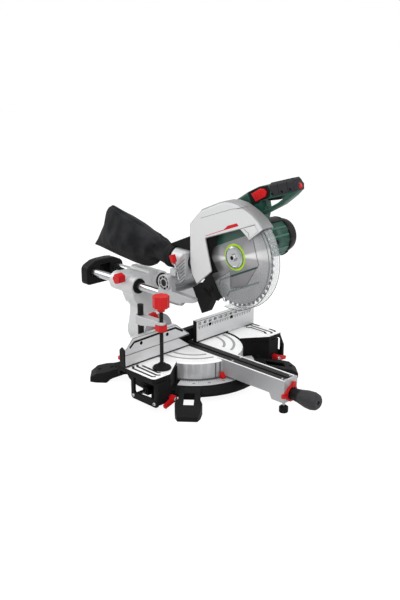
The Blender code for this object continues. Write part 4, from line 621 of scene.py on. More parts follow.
def in_edit(obj, *steps):
    """Runs edit-mode operators, each a (function, settings) pair, on the whole mesh."""
    use(obj)
    bpy.ops.object.mode_set(mode="EDIT")
    bpy.ops.mesh.select_all(action="SELECT")
    for step, settings in steps:
        step(**settings)
    bpy.ops.mesh.select_all(action="SELECT")
    bpy.ops.mesh.remove_doubles(threshold=MERGE)
    bpy.ops.mesh.delete_loose()
    bpy.ops.mesh.select_all(action="SELECT")
    bpy.ops.mesh.normals_make_consistent(inside=False)
    bpy.ops.object.mode_set(mode="OBJECT")
    return obj


def applied(obj, kind, **settings):
    use(obj)
    bpy.ops.object.modifier_apply(modifier=modifier(obj, kind, **settings).name)
    return obj


def softened(obj, width):
    """Bevels the sharp edges for good."""
    return applied(obj, "BEVEL", width=width, segments=2, limit_method="ANGLE", angle_limit=SHARP)


def loop_of(name, points, filled):
    """A circle primitive whose points are moved onto an outline."""
    deselect()
    fill = "NGON" if filled else "NOTHING"
    bpy.ops.mesh.primitive_circle_add(vertices=len(points), fill_type=fill)
    obj = bpy.context.object
    obj.name = name
    for vertex, point in zip(obj.data.vertices, points):
        vertex.co = point
    return obj


def slab(name, outline, axis, low, high, edge=0.0):
    """A plate of an outline, extruded along an axis, with rounded edges."""
    obj = loop_of(name, [along(axis, a, b, low) for a, b in outline], True)
    move = {"TRANSFORM_OT_translate": {"value": AXES[axis] * (high - low)}}
    in_edit(obj, (bpy.ops.mesh.extrude_region_move, move))
    return softened(obj, edge) if edge else obj


def lathe(name, profile, axis, centre, steps):
    """A profile of (radius, place along the axis), closed on itself and spun about the axis."""
    points = [along(axis, centre[0] + r, centre[1], t) for r, t in profile]
    spin = {"steps": steps, "angle": 2 * math.pi, "center": along(axis, *centre, 0), "axis": AXES[axis]}
    return in_edit(loop_of(name, points, False), (bpy.ops.mesh.spin, spin))


def skin(name, rings):
    """A skin over rings of points, closed round each ring and capped at both ends."""
    across, down = len(rings[0]), len(rings)
    deselect()
    bpy.ops.mesh.primitive_grid_add(x_subdivisions=across, y_subdivisions=down - 1, size=2)
    obj = bpy.context.object
    obj.name = name
    for vertex in obj.data.vertices:
        i = round((vertex.co.x + 1) / 2 * across) % across
        k = round((vertex.co.y + 1) / 2 * (down - 1))
        vertex.co = rings[k][i]
    merge = (bpy.ops.mesh.remove_doubles, {"threshold": MERGE})
    return in_edit(obj, merge, (bpy.ops.mesh.fill_holes, {"sides": 0}))


def tube(name, path, radius, sides=6):
    """A tube along a path of points."""
    points = [Vector(point) for point in path]
    turns = [2 * math.pi * k / sides for k in range(sides)]
    rings = []
    side = (points[1] - points[0]).orthogonal()
    for i, point in enumerate(points):
        run = (points[min(i + 1, len(points) - 1)] - points[max(i - 1, 0)]).normalized()
        side = (side - run * run.dot(side)).normalized()
        rings.append([point + radius * (side * math.cos(a) + run.cross(side) * math.sin(a)) for a in turns])
    return skin(name, rings)


def copy_of(obj, name, matrix):
    """A copy with its own mesh, moved by a matrix."""
    twin = bpy.data.objects.new(name, obj.data.copy())
    twin.data.transform(matrix)
    scene.collection.objects.link(twin)
    return twin


def as_one(name, objects):
    """Several meshes joined into one piece."""
    use(objects[0])
    for obj in objects:
        obj.select_set(True)
    if len(objects) > 1:
        bpy.ops.object.join()
    objects[0].name = name
    return objects[0]


def dress(obj, body, slot, finish=None, replaces=(), angle=40):
    """Finishes a piece, hangs it on its body and hides the solids that it stands for."""
    obj.data.name = obj.name
    obj.data.materials.clear()
    obj.data.materials.append(FINISHES[finish or slot])
    use(obj)
    bpy.ops.object.shade_smooth_by_angle(angle=angle * DEG)
    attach(obj, body)
    if replaces:
        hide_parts(*replaces)


def plates(name, outlines, axis, low, high, body, slot, finish=None, edge=0.0):
    """Plates of one or more outlines, as one dressed piece."""
    made = [slab(f"{name}_{i}", outline, axis, low, high, edge) for i, outline in enumerate(outlines)]
    dress(as_one(name, made), body, slot, finish)


print("mesh tools ready")

# %% Outlines
def mm(*rows):
    """Rows of millimetres, as metres."""
    return [tuple(value / 1000 for value in row) for row in rows]


def arc(centre, radius, start, end, steps):
    """Points on an arc, with angles in degrees."""
    turns = [(start + (end - start) * i / steps) * DEG for i in range(steps + 1)]
    return [(centre[0] + radius * math.cos(a), centre[1] + radius * math.sin(a)) for a in turns]


def band(centre, inner, outer, start, end, steps):
    """The outline of a curved band."""
    return arc(centre, inner, start, end, steps) + arc(centre, outer, end, start, steps)


def disc(centre, radius):
    """The outline of a small disc."""
    return arc(centre, radius, 0, 345, 23)


def bar(low, high):
    """A rectangle between two corners."""
    return [low, (high[0], low[1]), high, (low[0], high[1])]


def heading(angle):
    """The direction at an angle in degrees."""
    return Vector((math.cos(angle * DEG), math.sin(angle * DEG)))


def stripe(points, width):
    """The outline of a stripe of one width along a bent line."""
    left, right = [], []
    for i, point in enumerate(points):
        here = Vector(point)
        before = (here - Vector(points[i - 1])).normalized() if i else None
        after = (Vector(points[i + 1]) - here).normalized() if i < len(points) - 1 else None
        run = ((before or after) + (after or before)).normalized()
        reach = width / 2 / max(0.5, run.dot(after or before))
        normal = Vector((-run.y, run.x)) * reach
        left.append(tuple(here + normal))
        right.append(tuple(here - normal))
    return left + right[::-1]


def lifted(points):
    """Outline points given above the table top, as places in the frame."""
    return [(a, b + TOP) for a, b in points]


def pointed(place, direction):
    """The matrix that sets a piece modelled along +Z at a place, along a direction."""
    return Matrix.Translation(place) @ Vector(direction).to_track_quat("Z", "X").to_matrix().to_4x4()


def surface(node, start, direction):
    """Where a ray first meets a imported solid."""
    hit, place, normal, _ = NODES[node].ray_cast(Vector(start), Vector(direction))
    assert hit, f"no {node} along the ray from {start}"
    return place, normal


print("outlines ready")

# %% [markdown]
# ## One screw for all places
# The saw is held together by socket screws of a few sizes. One head is turned, with its socket left
# as a recess, and copied to wherever a screw shows, scaled and pointed along the hole.

# %% Screw heads
SCREW_HEAD = [(0, 0.15), (0.42, 0.15), (0.46, 0.62), (0.84, 0.62), (1.0, 0.42), (1.0, -0.3), (0, -0.3)]
screw_model = lathe("screw_model", SCREW_HEAD, Z, (0, 0), 12)


def screws(name, places, radius, direction, body, slot="steel", finish=None):
    """A row of equal screws as one piece."""
    made = [
        copy_of(screw_model, f"{name}_{i}", pointed(place, direction) @ Matrix.Scale(radius, 4))
        for i, place in enumerate(places)
    ]
    dress(as_one(name, made), body, slot, finish)


print("screw modelled")

# %% [markdown]
# ## The dust bag
# The bag is two panels of woven nylon sewn together along the top, the bottom and the slanted rear
# end, and gathered at the front into a rubber collar that clips onto the dust chute. It is made as a
# skin over rings that run down the bag: round at the collar, pinched at the neck, full in the middle
# and closed flat at the rear seam. Moving the points then adds what cloth does: gathers that fan out
# from the neck, and slack that sags between the seams. A bag is stiff nylon, so this is done by
# moving points and subdividing, not by a cloth simulation.

# %% Sections of the bag
BAG_SECTIONS = mm(
    (64, 203.5, 64, 256.5, 26.5), (92, 203.5, 90, 257.5, 27.5), (112, 206.5, 104, 262, 28.5),
    (129, 211, 120, 269, 32), (148, 195.5, 140, 277, 42), (178, 183.2, 170, 287, 45),
    (223, 182.2, 206, 299, 48), (272, 186.6, 246, 310, 47), (320, 191.8, 280, 319, 41),
    (362, 197.5, 304, 325.5, 31), (392, 201.5, 319, 329, 16), (415, 203, 327.5, 330, 3),
)
REAR_EDGE = [(0.0, 0.0), (0.25, -0.003), (0.60, -0.008), (0.82, 0.016), (0.92, 0.013), (1.0, 0.0)]
LAST, RINGS_BETWEEN, BAG_SIDES = len(BAG_SECTIONS) - 1, 5, 48
PINCH_FROM, PINCH_OVER = 2.5, 2
TAPER_BELOW, TAPER_ABOVE = 1.9, 1.22
GATHERS, GATHERS_AT, GATHERS_SPREAD, GATHERS_DEPTH, GATHERS_TWIST = 11, 3.2, 0.9, 0.0026, 1.7
SLACK, SLACK_OVER, SLACK_GRAIN = 0.0050, 2, (2.2, 1.1, 3.1)
HOLLOW, HOLLOW_AT, HOLLOW_SPREAD = 0.0035, 0.62, 0.2
BOW_OVER = 1.6


def between(low, high, share):
    return low + (high - low) * share


def eased(rows, place):
    """A smooth curve through rows of numbers, at a place counted in rows."""
    i = min(int(place), len(rows) - 2)
    t = place - i
    picks = [rows[max(0, min(len(rows) - 1, i + k))] for k in (-1, 0, 1, 2)]
    total = []
    for a, b, c, d in zip(*picks):
        square, cube = 2 * a - 5 * b + 4 * c - d, 3 * (b - c) + d - a
        total.append(0.5 * (2 * b + (c - a) * t + square * t ** 2 + cube * t ** 3))
    return total


def rear_bow(height):
    """How far the rear seam stands behind its straight line, by height from 0 to 1."""
    for (low, start), (high, end) in zip(REAR_EDGE, REAR_EDGE[1:]):
        if height <= high:
            return between(start, end, (height - low) / (high - low))
    return 0.0


def bag_point(place, angle, proud=0.0):
    """A point of the bag: its place from the collar in sections, and the angle round it."""
    low_y, low_z, high_y, high_z, half = eased(BAG_SECTIONS, place)
    pinch = min(1.0, max(0.0, (place - PINCH_FROM) / PINCH_OVER))
    height = (math.sin(angle) + 1) / 2
    taper = between(1.0, TAPER_BELOW if angle % (2 * math.pi) > math.pi else TAPER_ABOVE, pinch)
    wide = abs(math.cos(angle)) ** taper * math.copysign(1, math.cos(angle))
    gathers = math.exp(-((place - GATHERS_AT) / GATHERS_SPREAD) ** 2)
    folds = gathers * GATHERS_DEPTH * math.sin(GATHERS * angle + GATHERS_TWIST * place)
    sag = pinch * min(1.0, (LAST - place) / SLACK_OVER)
    spot = Vector([a * b for a, b in zip((wide, place, height), SLACK_GRAIN)])
    hollow = HOLLOW * math.exp(-((height - HOLLOW_AT) / HOLLOW_SPREAD) ** 2)
    slack = sag * (SLACK * noise.noise(spot) - hollow)
    bow = rear_bow(height) * max(0.0, 1 - (LAST - place) / BOW_OVER)
    reach = half + slack + folds + proud
    y = between(low_y, high_y, height) + bow
    z = between(low_z, high_z, height) + (folds + proud) * math.sin(angle)
    return Vector((reach * wide, y, TOP + z))


bag_rings = []
for row in range(LAST * RINGS_BETWEEN + 1):
    place = row / RINGS_BETWEEN
    bag_rings.append([bag_point(place, 2 * math.pi * k / BAG_SIDES) for k in range(BAG_SIDES)])
bag = skin("dust_bag_shell", bag_rings)
applied(bag, "SUBSURF", levels=1, render_levels=1)
dress(bag, "head", "black_fabric", replaces=["dust_bag"], angle=70)
print("bag:", len(bag.data.polygons), "faces")

# %% Seams, hem and collar of the bag
SEAM_START, SEAM_STEPS = 2.2, 46
HEM_START, HEM_END, STITCHES = 4.0, LAST - 0.3, LAST - 0.35


def bag_seam(name, angle_from, angle_to, start, end, radius, proud=0.0002):
    """A cord of thread laid along the bag's skin."""
    path = []
    for i in range(SEAM_STEPS + 1):
        share = i / SEAM_STEPS
        angle = between(angle_from, angle_to, share) * DEG
        path.append(bag_point(between(start, end, share), angle, proud))
    return tube(name, path, radius)


seams = [
    bag_seam("bag_top", 90, 90, SEAM_START, LAST, 0.0014),
    bag_seam("bag_bottom", 270, 270, SEAM_START, LAST, 0.0016),
    bag_seam("bag_hem_left", 242, 242, HEM_START, HEM_END, 0.0009),
    bag_seam("bag_hem_right", 298, 298, HEM_START, HEM_END, 0.0009),
    bag_seam("bag_top_left", 112, 112, HEM_START, HEM_END, 0.0005),
    bag_seam("bag_top_right", 68, 68, HEM_START, HEM_END, 0.0005),
    bag_seam("bag_rear", -90, 90, LAST, LAST, 0.0017, 0.0),
    bag_seam("bag_rear_left", 262, 98, STITCHES, STITCHES, 0.0006),
]
dress(as_one("dust_bag_seams", seams), "head", "black_fabric", "seam_thread")
CHUTE = (0.0, TOP + 0.230)
COLLAR = mm(
    (27.8, 64.5), (30.2, 65), (31, 67.5), (30.2, 70), (30.2, 73.5), (31.2, 76), (31.2, 85), (30, 88.5),
    (28.4, 89.5), (28, 88),
)
dress(lathe("dust_bag_collar", COLLAR, Y, CHUTE, 48), "head", "black_rubber")
print(len(seams), "seams, collar")

# %% [markdown]
# ## Blade cover
# The cover is a painted casting. Its left face carries a thin groove, a red pinstripe that swells
# into a slanted block, a separate nose panel and three joint lines. These are shallow inlays and a
# thin raised plate, set on the face and no deeper than paint and sheet are. A near-black lining plate
# shows behind the window, partly a lining and partly painted shade.

# %% Inlays of the cover
COVER_FACE = -0.020
INLAY = 0.0003


def on_cover(name, outline, proud, slot, finish=None, edge=0.0):
    low, high = COVER_FACE - proud, COVER_FACE + INLAY
    plates(name, [lifted(outline)], X, low, high, "head", slot, finish, edge)


GROOVE = mm((-44, 353.5), (-55, 357.5), (-152, 392.5), (-166, 395))
on_cover("cover_groove", stripe(GROOVE, 0.0010), 0.0001, "light_grey", "joint_and_shade_grey")
RED_BLOCK = mm(
    (-61, 309.8), (-61, 311.2), (-123, 336.8), (-137, 349), (-166.5, 359.8), (-172, 354.8),
    (-172, 353.6), (-125, 335.8),
)
on_cover("cover_pinstripe", RED_BLOCK, 0.00015, "red_plastic")
NOSE_PANEL = mm((-179, 347.6), (-206.5, 327.8), (-235.5, 352), (-223.5, 363.6))
on_cover("cover_nose_panel", NOSE_PANEL, 0.0009, "light_grey", "cover_paint", 0.0004)
JOINTS = [
    mm((-190.5, 349.5), (-206, 341.5), (-207.5, 331.5)),
    mm((-179, 348), (-225, 365.5)),
    mm((-208, 408), (-166, 395)),
]
for i, line in enumerate(JOINTS):
    on_cover(f"cover_joint_{i}", stripe(line, 0.0012), 0.0011, "light_grey", "joint_and_shade_grey")
LINING = mm(
    (-48, 308), (-95, 313), (-95, 291), (-80, 284), (-77, 257), (-91, 235), (-101, 224), (-70, 212),
)
# The lining plate is near black: partly a lining and partly painted shade behind the window.
plates("cover_lining", [lifted(LINING)], X, -0.0146, -0.0139, "head", "black_plastic", "shade_black")
COVER_SCREWS = mm((-30, 345), (-90, 383), (-215, 372))
places = [surface("blade_cover", (0.08, y, TOP + z), (-1, 0, 0))[0] for y, z in COVER_SCREWS]
screws("cover_screws", places, 0.0040, (1, 0, 0), "head")
print("cover inlaid, with", len(places), "screws")

# %% [markdown]
# ## Motor
# The motor's green shell has lengthwise ribs that stiffen it, a black strip over its seam and a
# screw-in cap over each carbon brush. Its black end cap is faceted and slotted for cooling air.

# %% Ribs, strip and brush caps
MOTOR = (-0.145, TOP + 0.295)
MOTOR_RADIUS, MOTOR_START, MOTOR_END, CAP_END = 0.050, 0.0607, 0.148, 0.186
RIB_ANGLES = [20, 40, 138, 162, 200, 224, 290, 315, 340]
RIB_FOOT, RIB_TOP, RIB_HALF = MOTOR_RADIUS - 0.0015, MOTOR_RADIUS + 0.0014, 0.0032
RIB_CORNERS = [
    (-RIB_HALF, RIB_FOOT), (RIB_HALF, RIB_FOOT), (RIB_HALF * 0.7, RIB_TOP), (-RIB_HALF * 0.7, RIB_TOP),
]


def rib_section(angle):
    """A rib's section, standing on the barrel at an angle."""
    out = heading(angle)
    side = Vector((-out.y, out.x))
    return [tuple(Vector(MOTOR) + side * a + out * r) for a, r in RIB_CORNERS]


# The ribs are the shell's plastic, painted a lighter green as a painted highlight.
ribs = [rib_section(angle) for angle in RIB_ANGLES]
low, high = MOTOR_START + 0.004, MOTOR_END - 0.001
plates("motor_ribs", ribs, X, low, high, "head", "green_plastic", "rib_green_highlight", 0.0007)
seam = band(MOTOR, MOTOR_RADIUS - 0.001, MOTOR_RADIUS + 0.0018, 66, 116, 14)
low, high = MOTOR_START + 0.001, MOTOR_END + 0.0002
plates("motor_strip", [seam], X, low, high, "head", "black_plastic", edge=0.0006)
BRUSH_AT = Vector((0.100, *MOTOR))
BRUSH_CAP = mm((0, 1.2), (1.2, 1.2), (1.2, 2.4), (5, 2.4), (5.8, 1.6), (5.8, -3), (0, -3))
for name, angle in (("front", 178), ("rear", 2)):
    out = Vector((0, *heading(angle)))
    cap = lathe("brush_cap_" + name, BRUSH_CAP, Z, (0, 0), 20)
    cap.data.transform(pointed(BRUSH_AT + out * MOTOR_RADIUS, out))
    dress(cap, "head", "black_plastic")
print("motor:", len(ribs), "ribs")

# %% Facets and cooling slots of the end cap
CAP_FACETS, FACET_HALF, CAP_SLOTS, SLOT_HALF = 10, 12.96, 20, 3.4
SLOT_DEEP = 0.0004


def round_motor(count, start, half, inner, outer, steps):
    """Outlines of equal bands, set evenly round the motor's axis."""
    turns = [start + i * 360 / count for i in range(count)]
    return [band(MOTOR, inner, outer, turn - half, turn + half, steps) for turn in turns]


facets = round_motor(CAP_FACETS, 18, FACET_HALF, MOTOR_RADIUS - 0.002, MOTOR_RADIUS + 0.0016, 4)
low, high = MOTOR_END + 0.002, CAP_END - 0.027
plates("end_cap_facets", facets, X, low, high, "head", "black_plastic", edge=0.0008)
# The slots are black plates on the cap's face: painted shade where the openings are.
slots = round_motor(CAP_SLOTS, 0, SLOT_HALF, 0.022, 0.037, 2)
low, high = CAP_END - SLOT_DEEP, CAP_END + SLOT_DEEP
plates("end_cap_slots", slots, X, low, high, "head", "black_plastic", "shade_black")
print("end cap:", len(facets), "facets,", len(slots), "slots")

# %% [markdown]
# ## Handle
# The grip is a soft sleeve in three segments parted by grooves, with oval drain holes. It is the
# packed sleeve cut across and softened, so it fits the handle, and it ends in a nose: the handle's
# own front end, cut off and made a little larger. A ribbed red slider in a black surround has to be
# pushed before the trigger can be pulled.

# %% Sleeve in three segments and a nose
GRIP_CUTS = mm((-253.5, 452), (-281, 461))
GRIP_RUN = Vector((0, -0.956, 0.292))
GROOVE_HALF = 0.0008


def cut_off(obj, point, direction, keep_front):
    """Cuts a mesh by a plane, closes the cut and keeps one side."""
    bisect = {
        "plane_co": point, "plane_no": direction, "use_fill": True,
        "clear_inner": keep_front, "clear_outer": not keep_front,
    }
    return in_edit(obj, (bpy.ops.mesh.bisect, bisect))


def from_solid(node, name):
    """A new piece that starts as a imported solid's mesh, its flat triangles made whole faces."""
    flat = (bpy.ops.mesh.dissolve_limited, {"angle_limit": FLAT})
    return in_edit(copy_of(NODES[node], name, Matrix()), flat)


cuts = [Vector((0, y, TOP + z)) for y, z in GRIP_CUTS]
sleeve = []
for i in range(len(cuts) + 1):
    part = from_solid("handle_grip", f"handle_sleeve_{i}")
    if i:
        cut_off(part, cuts[i - 1] + GRIP_RUN * GROOVE_HALF, GRIP_RUN, True)
    if i < len(cuts):
        cut_off(part, cuts[i] - GRIP_RUN * GROOVE_HALF, GRIP_RUN, False)
    sleeve.append(softened(part, 0.0009))
NOSE_CORNER = Vector((0, -0.2925, TOP + 0.4465))
NOSE_SIDES = Vector((0, -0.992, -0.127)), Vector((0, 0.316, 0.949))
NOSE_MIDDLE, NOSE_GROWTH = Vector((0.045, -0.297, TOP + 0.460)), (1.12, 1.02, 1.06)
nose = from_solid("motor_housing", "handle_sleeve_nose")
for side in NOSE_SIDES:
    cut_off(nose, NOSE_CORNER, side, True)
grow = Matrix.Diagonal((*NOSE_GROWTH, 1))
nose.data.transform(Matrix.Translation(NOSE_MIDDLE) @ grow @ Matrix.Translation(-NOSE_MIDDLE))
sleeve.append(nose)
dress(as_one("handle_sleeve", sleeve), "head", "dark_grip", replaces=["handle_grip"])
print("sleeve cut into", len(cuts) + 1, "and a nose")

# %% Slider, surround, drain holes and tip
HANDLE_FACE, SLEEVE_FACE = 0.0270, 0.0245
SURROUND_EDGE = mm(
    (-158, 426.5), (-174, 398.5), (-196, 406.5), (-200, 413.5), (-222.5, 421.2), (-228.5, 427),
    (-228.8, 442), (-219, 451.5), (-200, 446.5), (-189, 443),
)
SLIDER = mm((-173, 426.2), (-188.5, 409.8), (-218, 425.8), (-221, 436.5), (-214, 443), (-200, 442.5))
SLIDER_RUN = Vector((-0.906, 0.423))
RIDGES, RIDGE_STEP, RIDGE_HALF, RIDGE_WIDE = 5, 0.0064, 0.0085, 0.0024
FIRST_RIDGE = Vector((-0.1865, 0.4235))
TIP_PLACE, TIP_RUN = (0.045, -0.3050, TOP + 0.4600), (0, -0.94, 0.34)
low, high = HANDLE_FACE - 0.0003, HANDLE_FACE + 0.002
plates("lock_off_surround", [lifted(SURROUND_EDGE)], X, low, high, "head", "black_plastic", "black_paint_and_shade")
button = [slab("lock_off_button", lifted(SLIDER), X, HANDLE_FACE - 0.0055, HANDLE_FACE - 0.0003, 0.0012)]
across = Vector((SLIDER_RUN.y, -SLIDER_RUN.x)) * RIDGE_HALF
for i in range(RIDGES):
    middle = FIRST_RIDGE + SLIDER_RUN * RIDGE_STEP * i
    ridge = lifted(stripe([tuple(middle - across), tuple(middle + across)], RIDGE_WIDE))
    button.append(slab(f"lock_off_ridge_{i}", ridge, X, HANDLE_FACE - 0.0066, HANDLE_FACE - 0.005, 0.0006))
dress(as_one("lock_off_button", button), "lock_off", "red_plastic", replaces=["lock_off_slider"])
DRAINS = mm((-237.5, 434.5), (-266, 443.5), (-290.5, 452))
OVAL_LONG, OVAL_WIDE, OVAL_SLANT = 0.0034, 0.0026, 0.0012
round_points = arc((0, 0), 1, 0, 360 - 360 / 14, 13)
drains = [
    [(y + OVAL_LONG * a - OVAL_SLANT * b, TOP + z + OVAL_SLANT * a + OVAL_WIDE * b) for a, b in round_points]
    for y, z in DRAINS
]
# The drain holes are black plates on the sleeve: painted shade for the openings.
low, high = SLEEVE_FACE - 0.0002, SLEEVE_FACE + 0.002
plates("grip_drains", drains, X, low, high, "head", "black_plastic", "shade_black")
TIP = mm((0, 2.2), (4.5, 1.8), (6.8, 0.2), (6.8, -3), (0, -3))
tip = lathe("handle_tip", TIP, Z, (0, 0), 24)
tip.data.transform(pointed(TIP_PLACE, TIP_RUN))
dress(tip, "head", "red_plastic")
print("handle fitted")

# %% [markdown]
# ## Blade and guard
# The blade's print is paint on ground steel, so it belongs to the material. A lime ring marks the
# clamping area, the flange is dished and the bolt has a socket, a black hexagon of painted shade. The
# clear guard is stiffened by beads along its edges, and its outline reads as thin grey lines: the
# beads are painted opaque grey as painted shade, though they are clear. A black lip closes the gap
# between the guard and the chip deflector.

# %% Blade ring, flange, bolt socket and guard beads
BLADE_AT = BLADE_CENTRE[1:]
LIME_RING = mm((29, -1), (33.8, -1), (33.8, -1.55), (29, -1.55))
dress(lathe("blade_ring", LIME_RING, X, BLADE_AT, 64), "blade", "green_plastic", "lime_paint")
FLANGE_RIM = mm((26.2, -3.5), (28, -3), (27.6, -5.2), (23.6, -6.8), (22.2, -5.8))
dress(lathe("blade_flange_rim", FLANGE_RIM, X, BLADE_AT, 48), "blade", "steel")
# The bolt's socket is a black hexagon plate: painted shade for its recess.
hexagon = arc(BLADE_AT, 0.0056, 0, 300, 5)
plates("blade_bolt_socket", [hexagon], X, -0.0130, -0.0122, "blade", "steel", "shade_black")
GUARD_REACH, GUARD_TEETH = 0.1325, 0.1215
BEAD_SIDE, BEAD_RADIUS = 0.0131, 0.0009
GUARD_EDGE = mm(
    (-204, 345), (-214, 325), (-226, 287), (-233, 268), (-229, 261), (-194, 207), (-142, 189),
    (-142, 219), (-140, 234), (-89, 198), (-94, 191), (-121, 151),
)
GUARD_ARCS = [
    (-BEAD_SIDE, GUARD_REACH, -80, -235), (BEAD_SIDE, GUARD_REACH, -80, -235),
    (-BEAD_SIDE, GUARD_TEETH, -96, -222),
]
beads = [tube("guard_bead_edge", [(-BEAD_SIDE, y, z) for y, z in lifted(GUARD_EDGE)], BEAD_RADIUS)]
for i, (x, reach, start, end) in enumerate(GUARD_ARCS):
    path = [(x, y, z) for y, z in arc(BLADE_AT, reach - BEAD_RADIUS, start, end, 48)]
    beads.append(tube(f"guard_bead_{i}", path, BEAD_RADIUS))
# The beads are painted opaque grey: painted shade, for clear beads that read as grey lines.
dress(as_one("guard_beads", beads), "guard", "clear_plastic", "guard_bead")
BOSS = mm((0, -22.5), (6.5, -22.5), (8.5, -20.5), (8.5, -18), (0, -18))
BOSS_AT = (-0.0765, TOP + 0.1745)
LIP = mm(
    (-79, 217), (-94, 191), (-115, 160), (-104, 149), (-85, 150), (-70, 174), (-46, 170), (-50, 190),
)
plates("deflector_lip", [lifted(LIP)], X, -0.0180, -0.0150, "head", "black_plastic", edge=0.0008)
dress(lathe("deflector_boss", BOSS, X, BOSS_AT, 28), "head", "black_plastic")
screws("deflector_screw", [(-0.0225, *BOSS_AT)], 0.0040, (-1, 0, 0), "head", finish="black_steel")
print("blade and guard dressed with", len(beads), "beads")

# %% [markdown]
# ## Arm, pivot and threads
# The head's arm is a ribbed casting: thin ribs stiffen the wall between the pivot and the chute; they
# are painted dark grey, as painted shade for the shadows beside them. The pivot's end shows a spoked
# ring round the pin, with painted shade in its hollows. The depth stop is a threaded rod with a square
# red knob, and the clamp has a screw. Their threads are true helixes, made by letting the radius of
# each ring of points follow the angle.

# %% Arm ribs and pivot ring
ARM_FACE = -0.034
ARM_RIBS, ARM_RIB_WIDE = 7, 0.0014
ARM_RIB_START, ARM_RIB_STEP = Vector((0.0009, 0.1854)), Vector((0.00457, 0.0053))
ARM_RIB_RUN = Vector((-0.757, 0.653))
ARM_RIB_LENGTH, ARM_RIB_LOSS = 0.016, 0.0012
arm_ribs = []
for i in range(ARM_RIBS):
    middle = ARM_RIB_START + ARM_RIB_STEP * i
    front = middle - ARM_RIB_RUN * (middle.x / ARM_RIB_RUN.x)
    rear = middle - ARM_RIB_RUN * (ARM_RIB_LENGTH - ARM_RIB_LOSS * i)
    arm_ribs.append(lifted(stripe([tuple(front), tuple(rear)], ARM_RIB_WIDE)))
# The ribs are painted dark grey: painted shade, for the shadows beside them.
low, high = ARM_FACE - 0.0014, ARM_FACE + 0.0005
plates("arm_ribs", arm_ribs, X, low, high, "head", "silver_paint", "joint_and_shade_grey", 0.0003)
PIVOT, PIVOT_FACE = (0.052, TOP + 0.173), -0.057
PIVOT_RINGS = mm((18.8, 21.9), (9.8, 12.4))
SPOKES, SPOKE_IN, SPOKE_OUT, SPOKE_WIDE = 8, 0.0115, 0.0195, 0.0024
hub = []
for i, (inner, outer) in enumerate(PIVOT_RINGS):
    ring = [(inner, 0.0005), (inner, -0.0042), (outer, -0.0042), (outer, 0.0005)]
    hub.append(lathe(f"pivot_ring_{i}", [(r, PIVOT_FACE + x) for r, x in ring], X, PIVOT, 48))
for i in range(SPOKES):
    ends = [tuple(Vector(PIVOT) + heading(i * 45 + 15) * reach) for reach in (SPOKE_IN, SPOKE_OUT)]
    spoke = stripe(ends, SPOKE_WIDE)
    hub.append(slab(f"pivot_spoke_{i}", spoke, X, PIVOT_FACE - 0.0030, PIVOT_FACE + 0.0004, 0.0004))
dress(as_one("pivot_ring", hub), "slide", "silver_paint")
# Painted shade: a black disc behind the spokes darkens the hub's hollows.
low, high = PIVOT_FACE - 0.0005, PIVOT_FACE + 0.0004
plates("pivot_recess", [disc(PIVOT, 0.0192)], X, low, high, "slide", "silver_paint", "shade_black")
print(len(arm_ribs), "arm ribs, pivot ring")

# %% Threaded rods
def thread(name, radius, depth, pitch, length, sides=14, per_turn=7):
    """A rod along +Z with a helical thread."""
    rows = round(length / pitch * per_turn)
    rings = []
    for row in range(rows + 1):
        z = length * row / rows
        ring = []
        for k in range(sides):
            turn = k / sides
            reach = radius - depth * abs(2 * ((z / pitch - turn) % 1.0) - 1)
            ring.append((reach * math.cos(2 * math.pi * turn), reach * math.sin(2 * math.pi * turn), z))
        rings.append(ring)
    return skin(name, rings)


STOP_LOW, STOP_HIGH = Vector((-0.046, 0.0095, TOP + 0.187)), Vector((-0.046, 0.035, TOP + 0.249))
STOP_KNOB, STOP_HALF = 0.020, 0.0062
STOP_NECK = mm((0, 0), (4.4, 0), (5.2, 4), (0, 4))
stop_run = STOP_HIGH - STOP_LOW
knob_foot = stop_run.length - STOP_KNOB
stop_rod = thread("depth_stop_rod", 0.0030, 0.0006, 0.0015, knob_foot + 0.001, 12)
square = bar((-STOP_HALF, -STOP_HALF), (STOP_HALF, STOP_HALF))
knob = slab("depth_stop_knob", square, Z, knob_foot, stop_run.length, 0.0012)
neck = lathe("depth_stop_neck", [(r, knob_foot - 0.003 + z) for r, z in STOP_NECK], Z, (0, 0), 20)
knob = as_one("depth_stop_knob", [knob, neck])
for piece in (stop_rod, knob):
    piece.data.transform(pointed(STOP_LOW, stop_run))
dress(stop_rod, "depth_stop", "steel", replaces=["depth_stop_screw"])
dress(knob, "depth_stop", "red_plastic")
CLAMP_SCREW = (-0.176, -0.064, TOP + 0.0145)
clamp_thread = thread("clamp_screw_thread", 0.0052, 0.0009, 0.0030, 0.1463)
clamp_thread.data.transform(Matrix.Translation(CLAMP_SCREW))
dress(clamp_thread, "clamp_screw", "black_plastic", "black_steel", replaces=["clamp_screw"])
print("threads cut")

# %% [markdown]
# ## Table marks
# The bare table tops carry black stripes that end in a short hook, painted into shallow grooves, and
# the turntable has two broad grey bands on each side. They are thin inlays, just proud of the milled
# face. The fence has lines of the same kind, and two round holes in each half.

# %% Stripes and bands
MARK_LOW, MARK_HIGH = TOP - 0.0003, TOP + 0.00012
STRIPE = 0.0062
LEFT_STRIPES = [
    mm((-219, -4), (-228, -15), (-229, -87), (-222.5, -93)),
    mm((-205, -4), (-212, -12), (-215, -87), (-208, -94)),
    mm((-197.5, -17), (-200, -20), (-202, -77), (-197.5, -83)),
]
RIGHT_STRIPES = [
    mm((218, -8), (217, -86), (208.5, -93)),
    mm((197.5, -8), (205, -19), (205, -70), (197.5, -83)),
    mm((200, -2.5), (232, -2.5), (232, -28)),
    mm((233, -64), (231.5, -86), (226, -90)),
]
INNER_BAND, OUTER_BAND = (0.077, 0.084), (0.1030, 0.1100)
BANDS = [
    band((0, 0), *INNER_BAND, -62, -2, 24), band((0, 0), *OUTER_BAND, -70, -2, 28),
    band((0, 0), *INNER_BAND, -178, -112, 24), band((0, 0), *OUTER_BAND, -178, -107, 28),
]
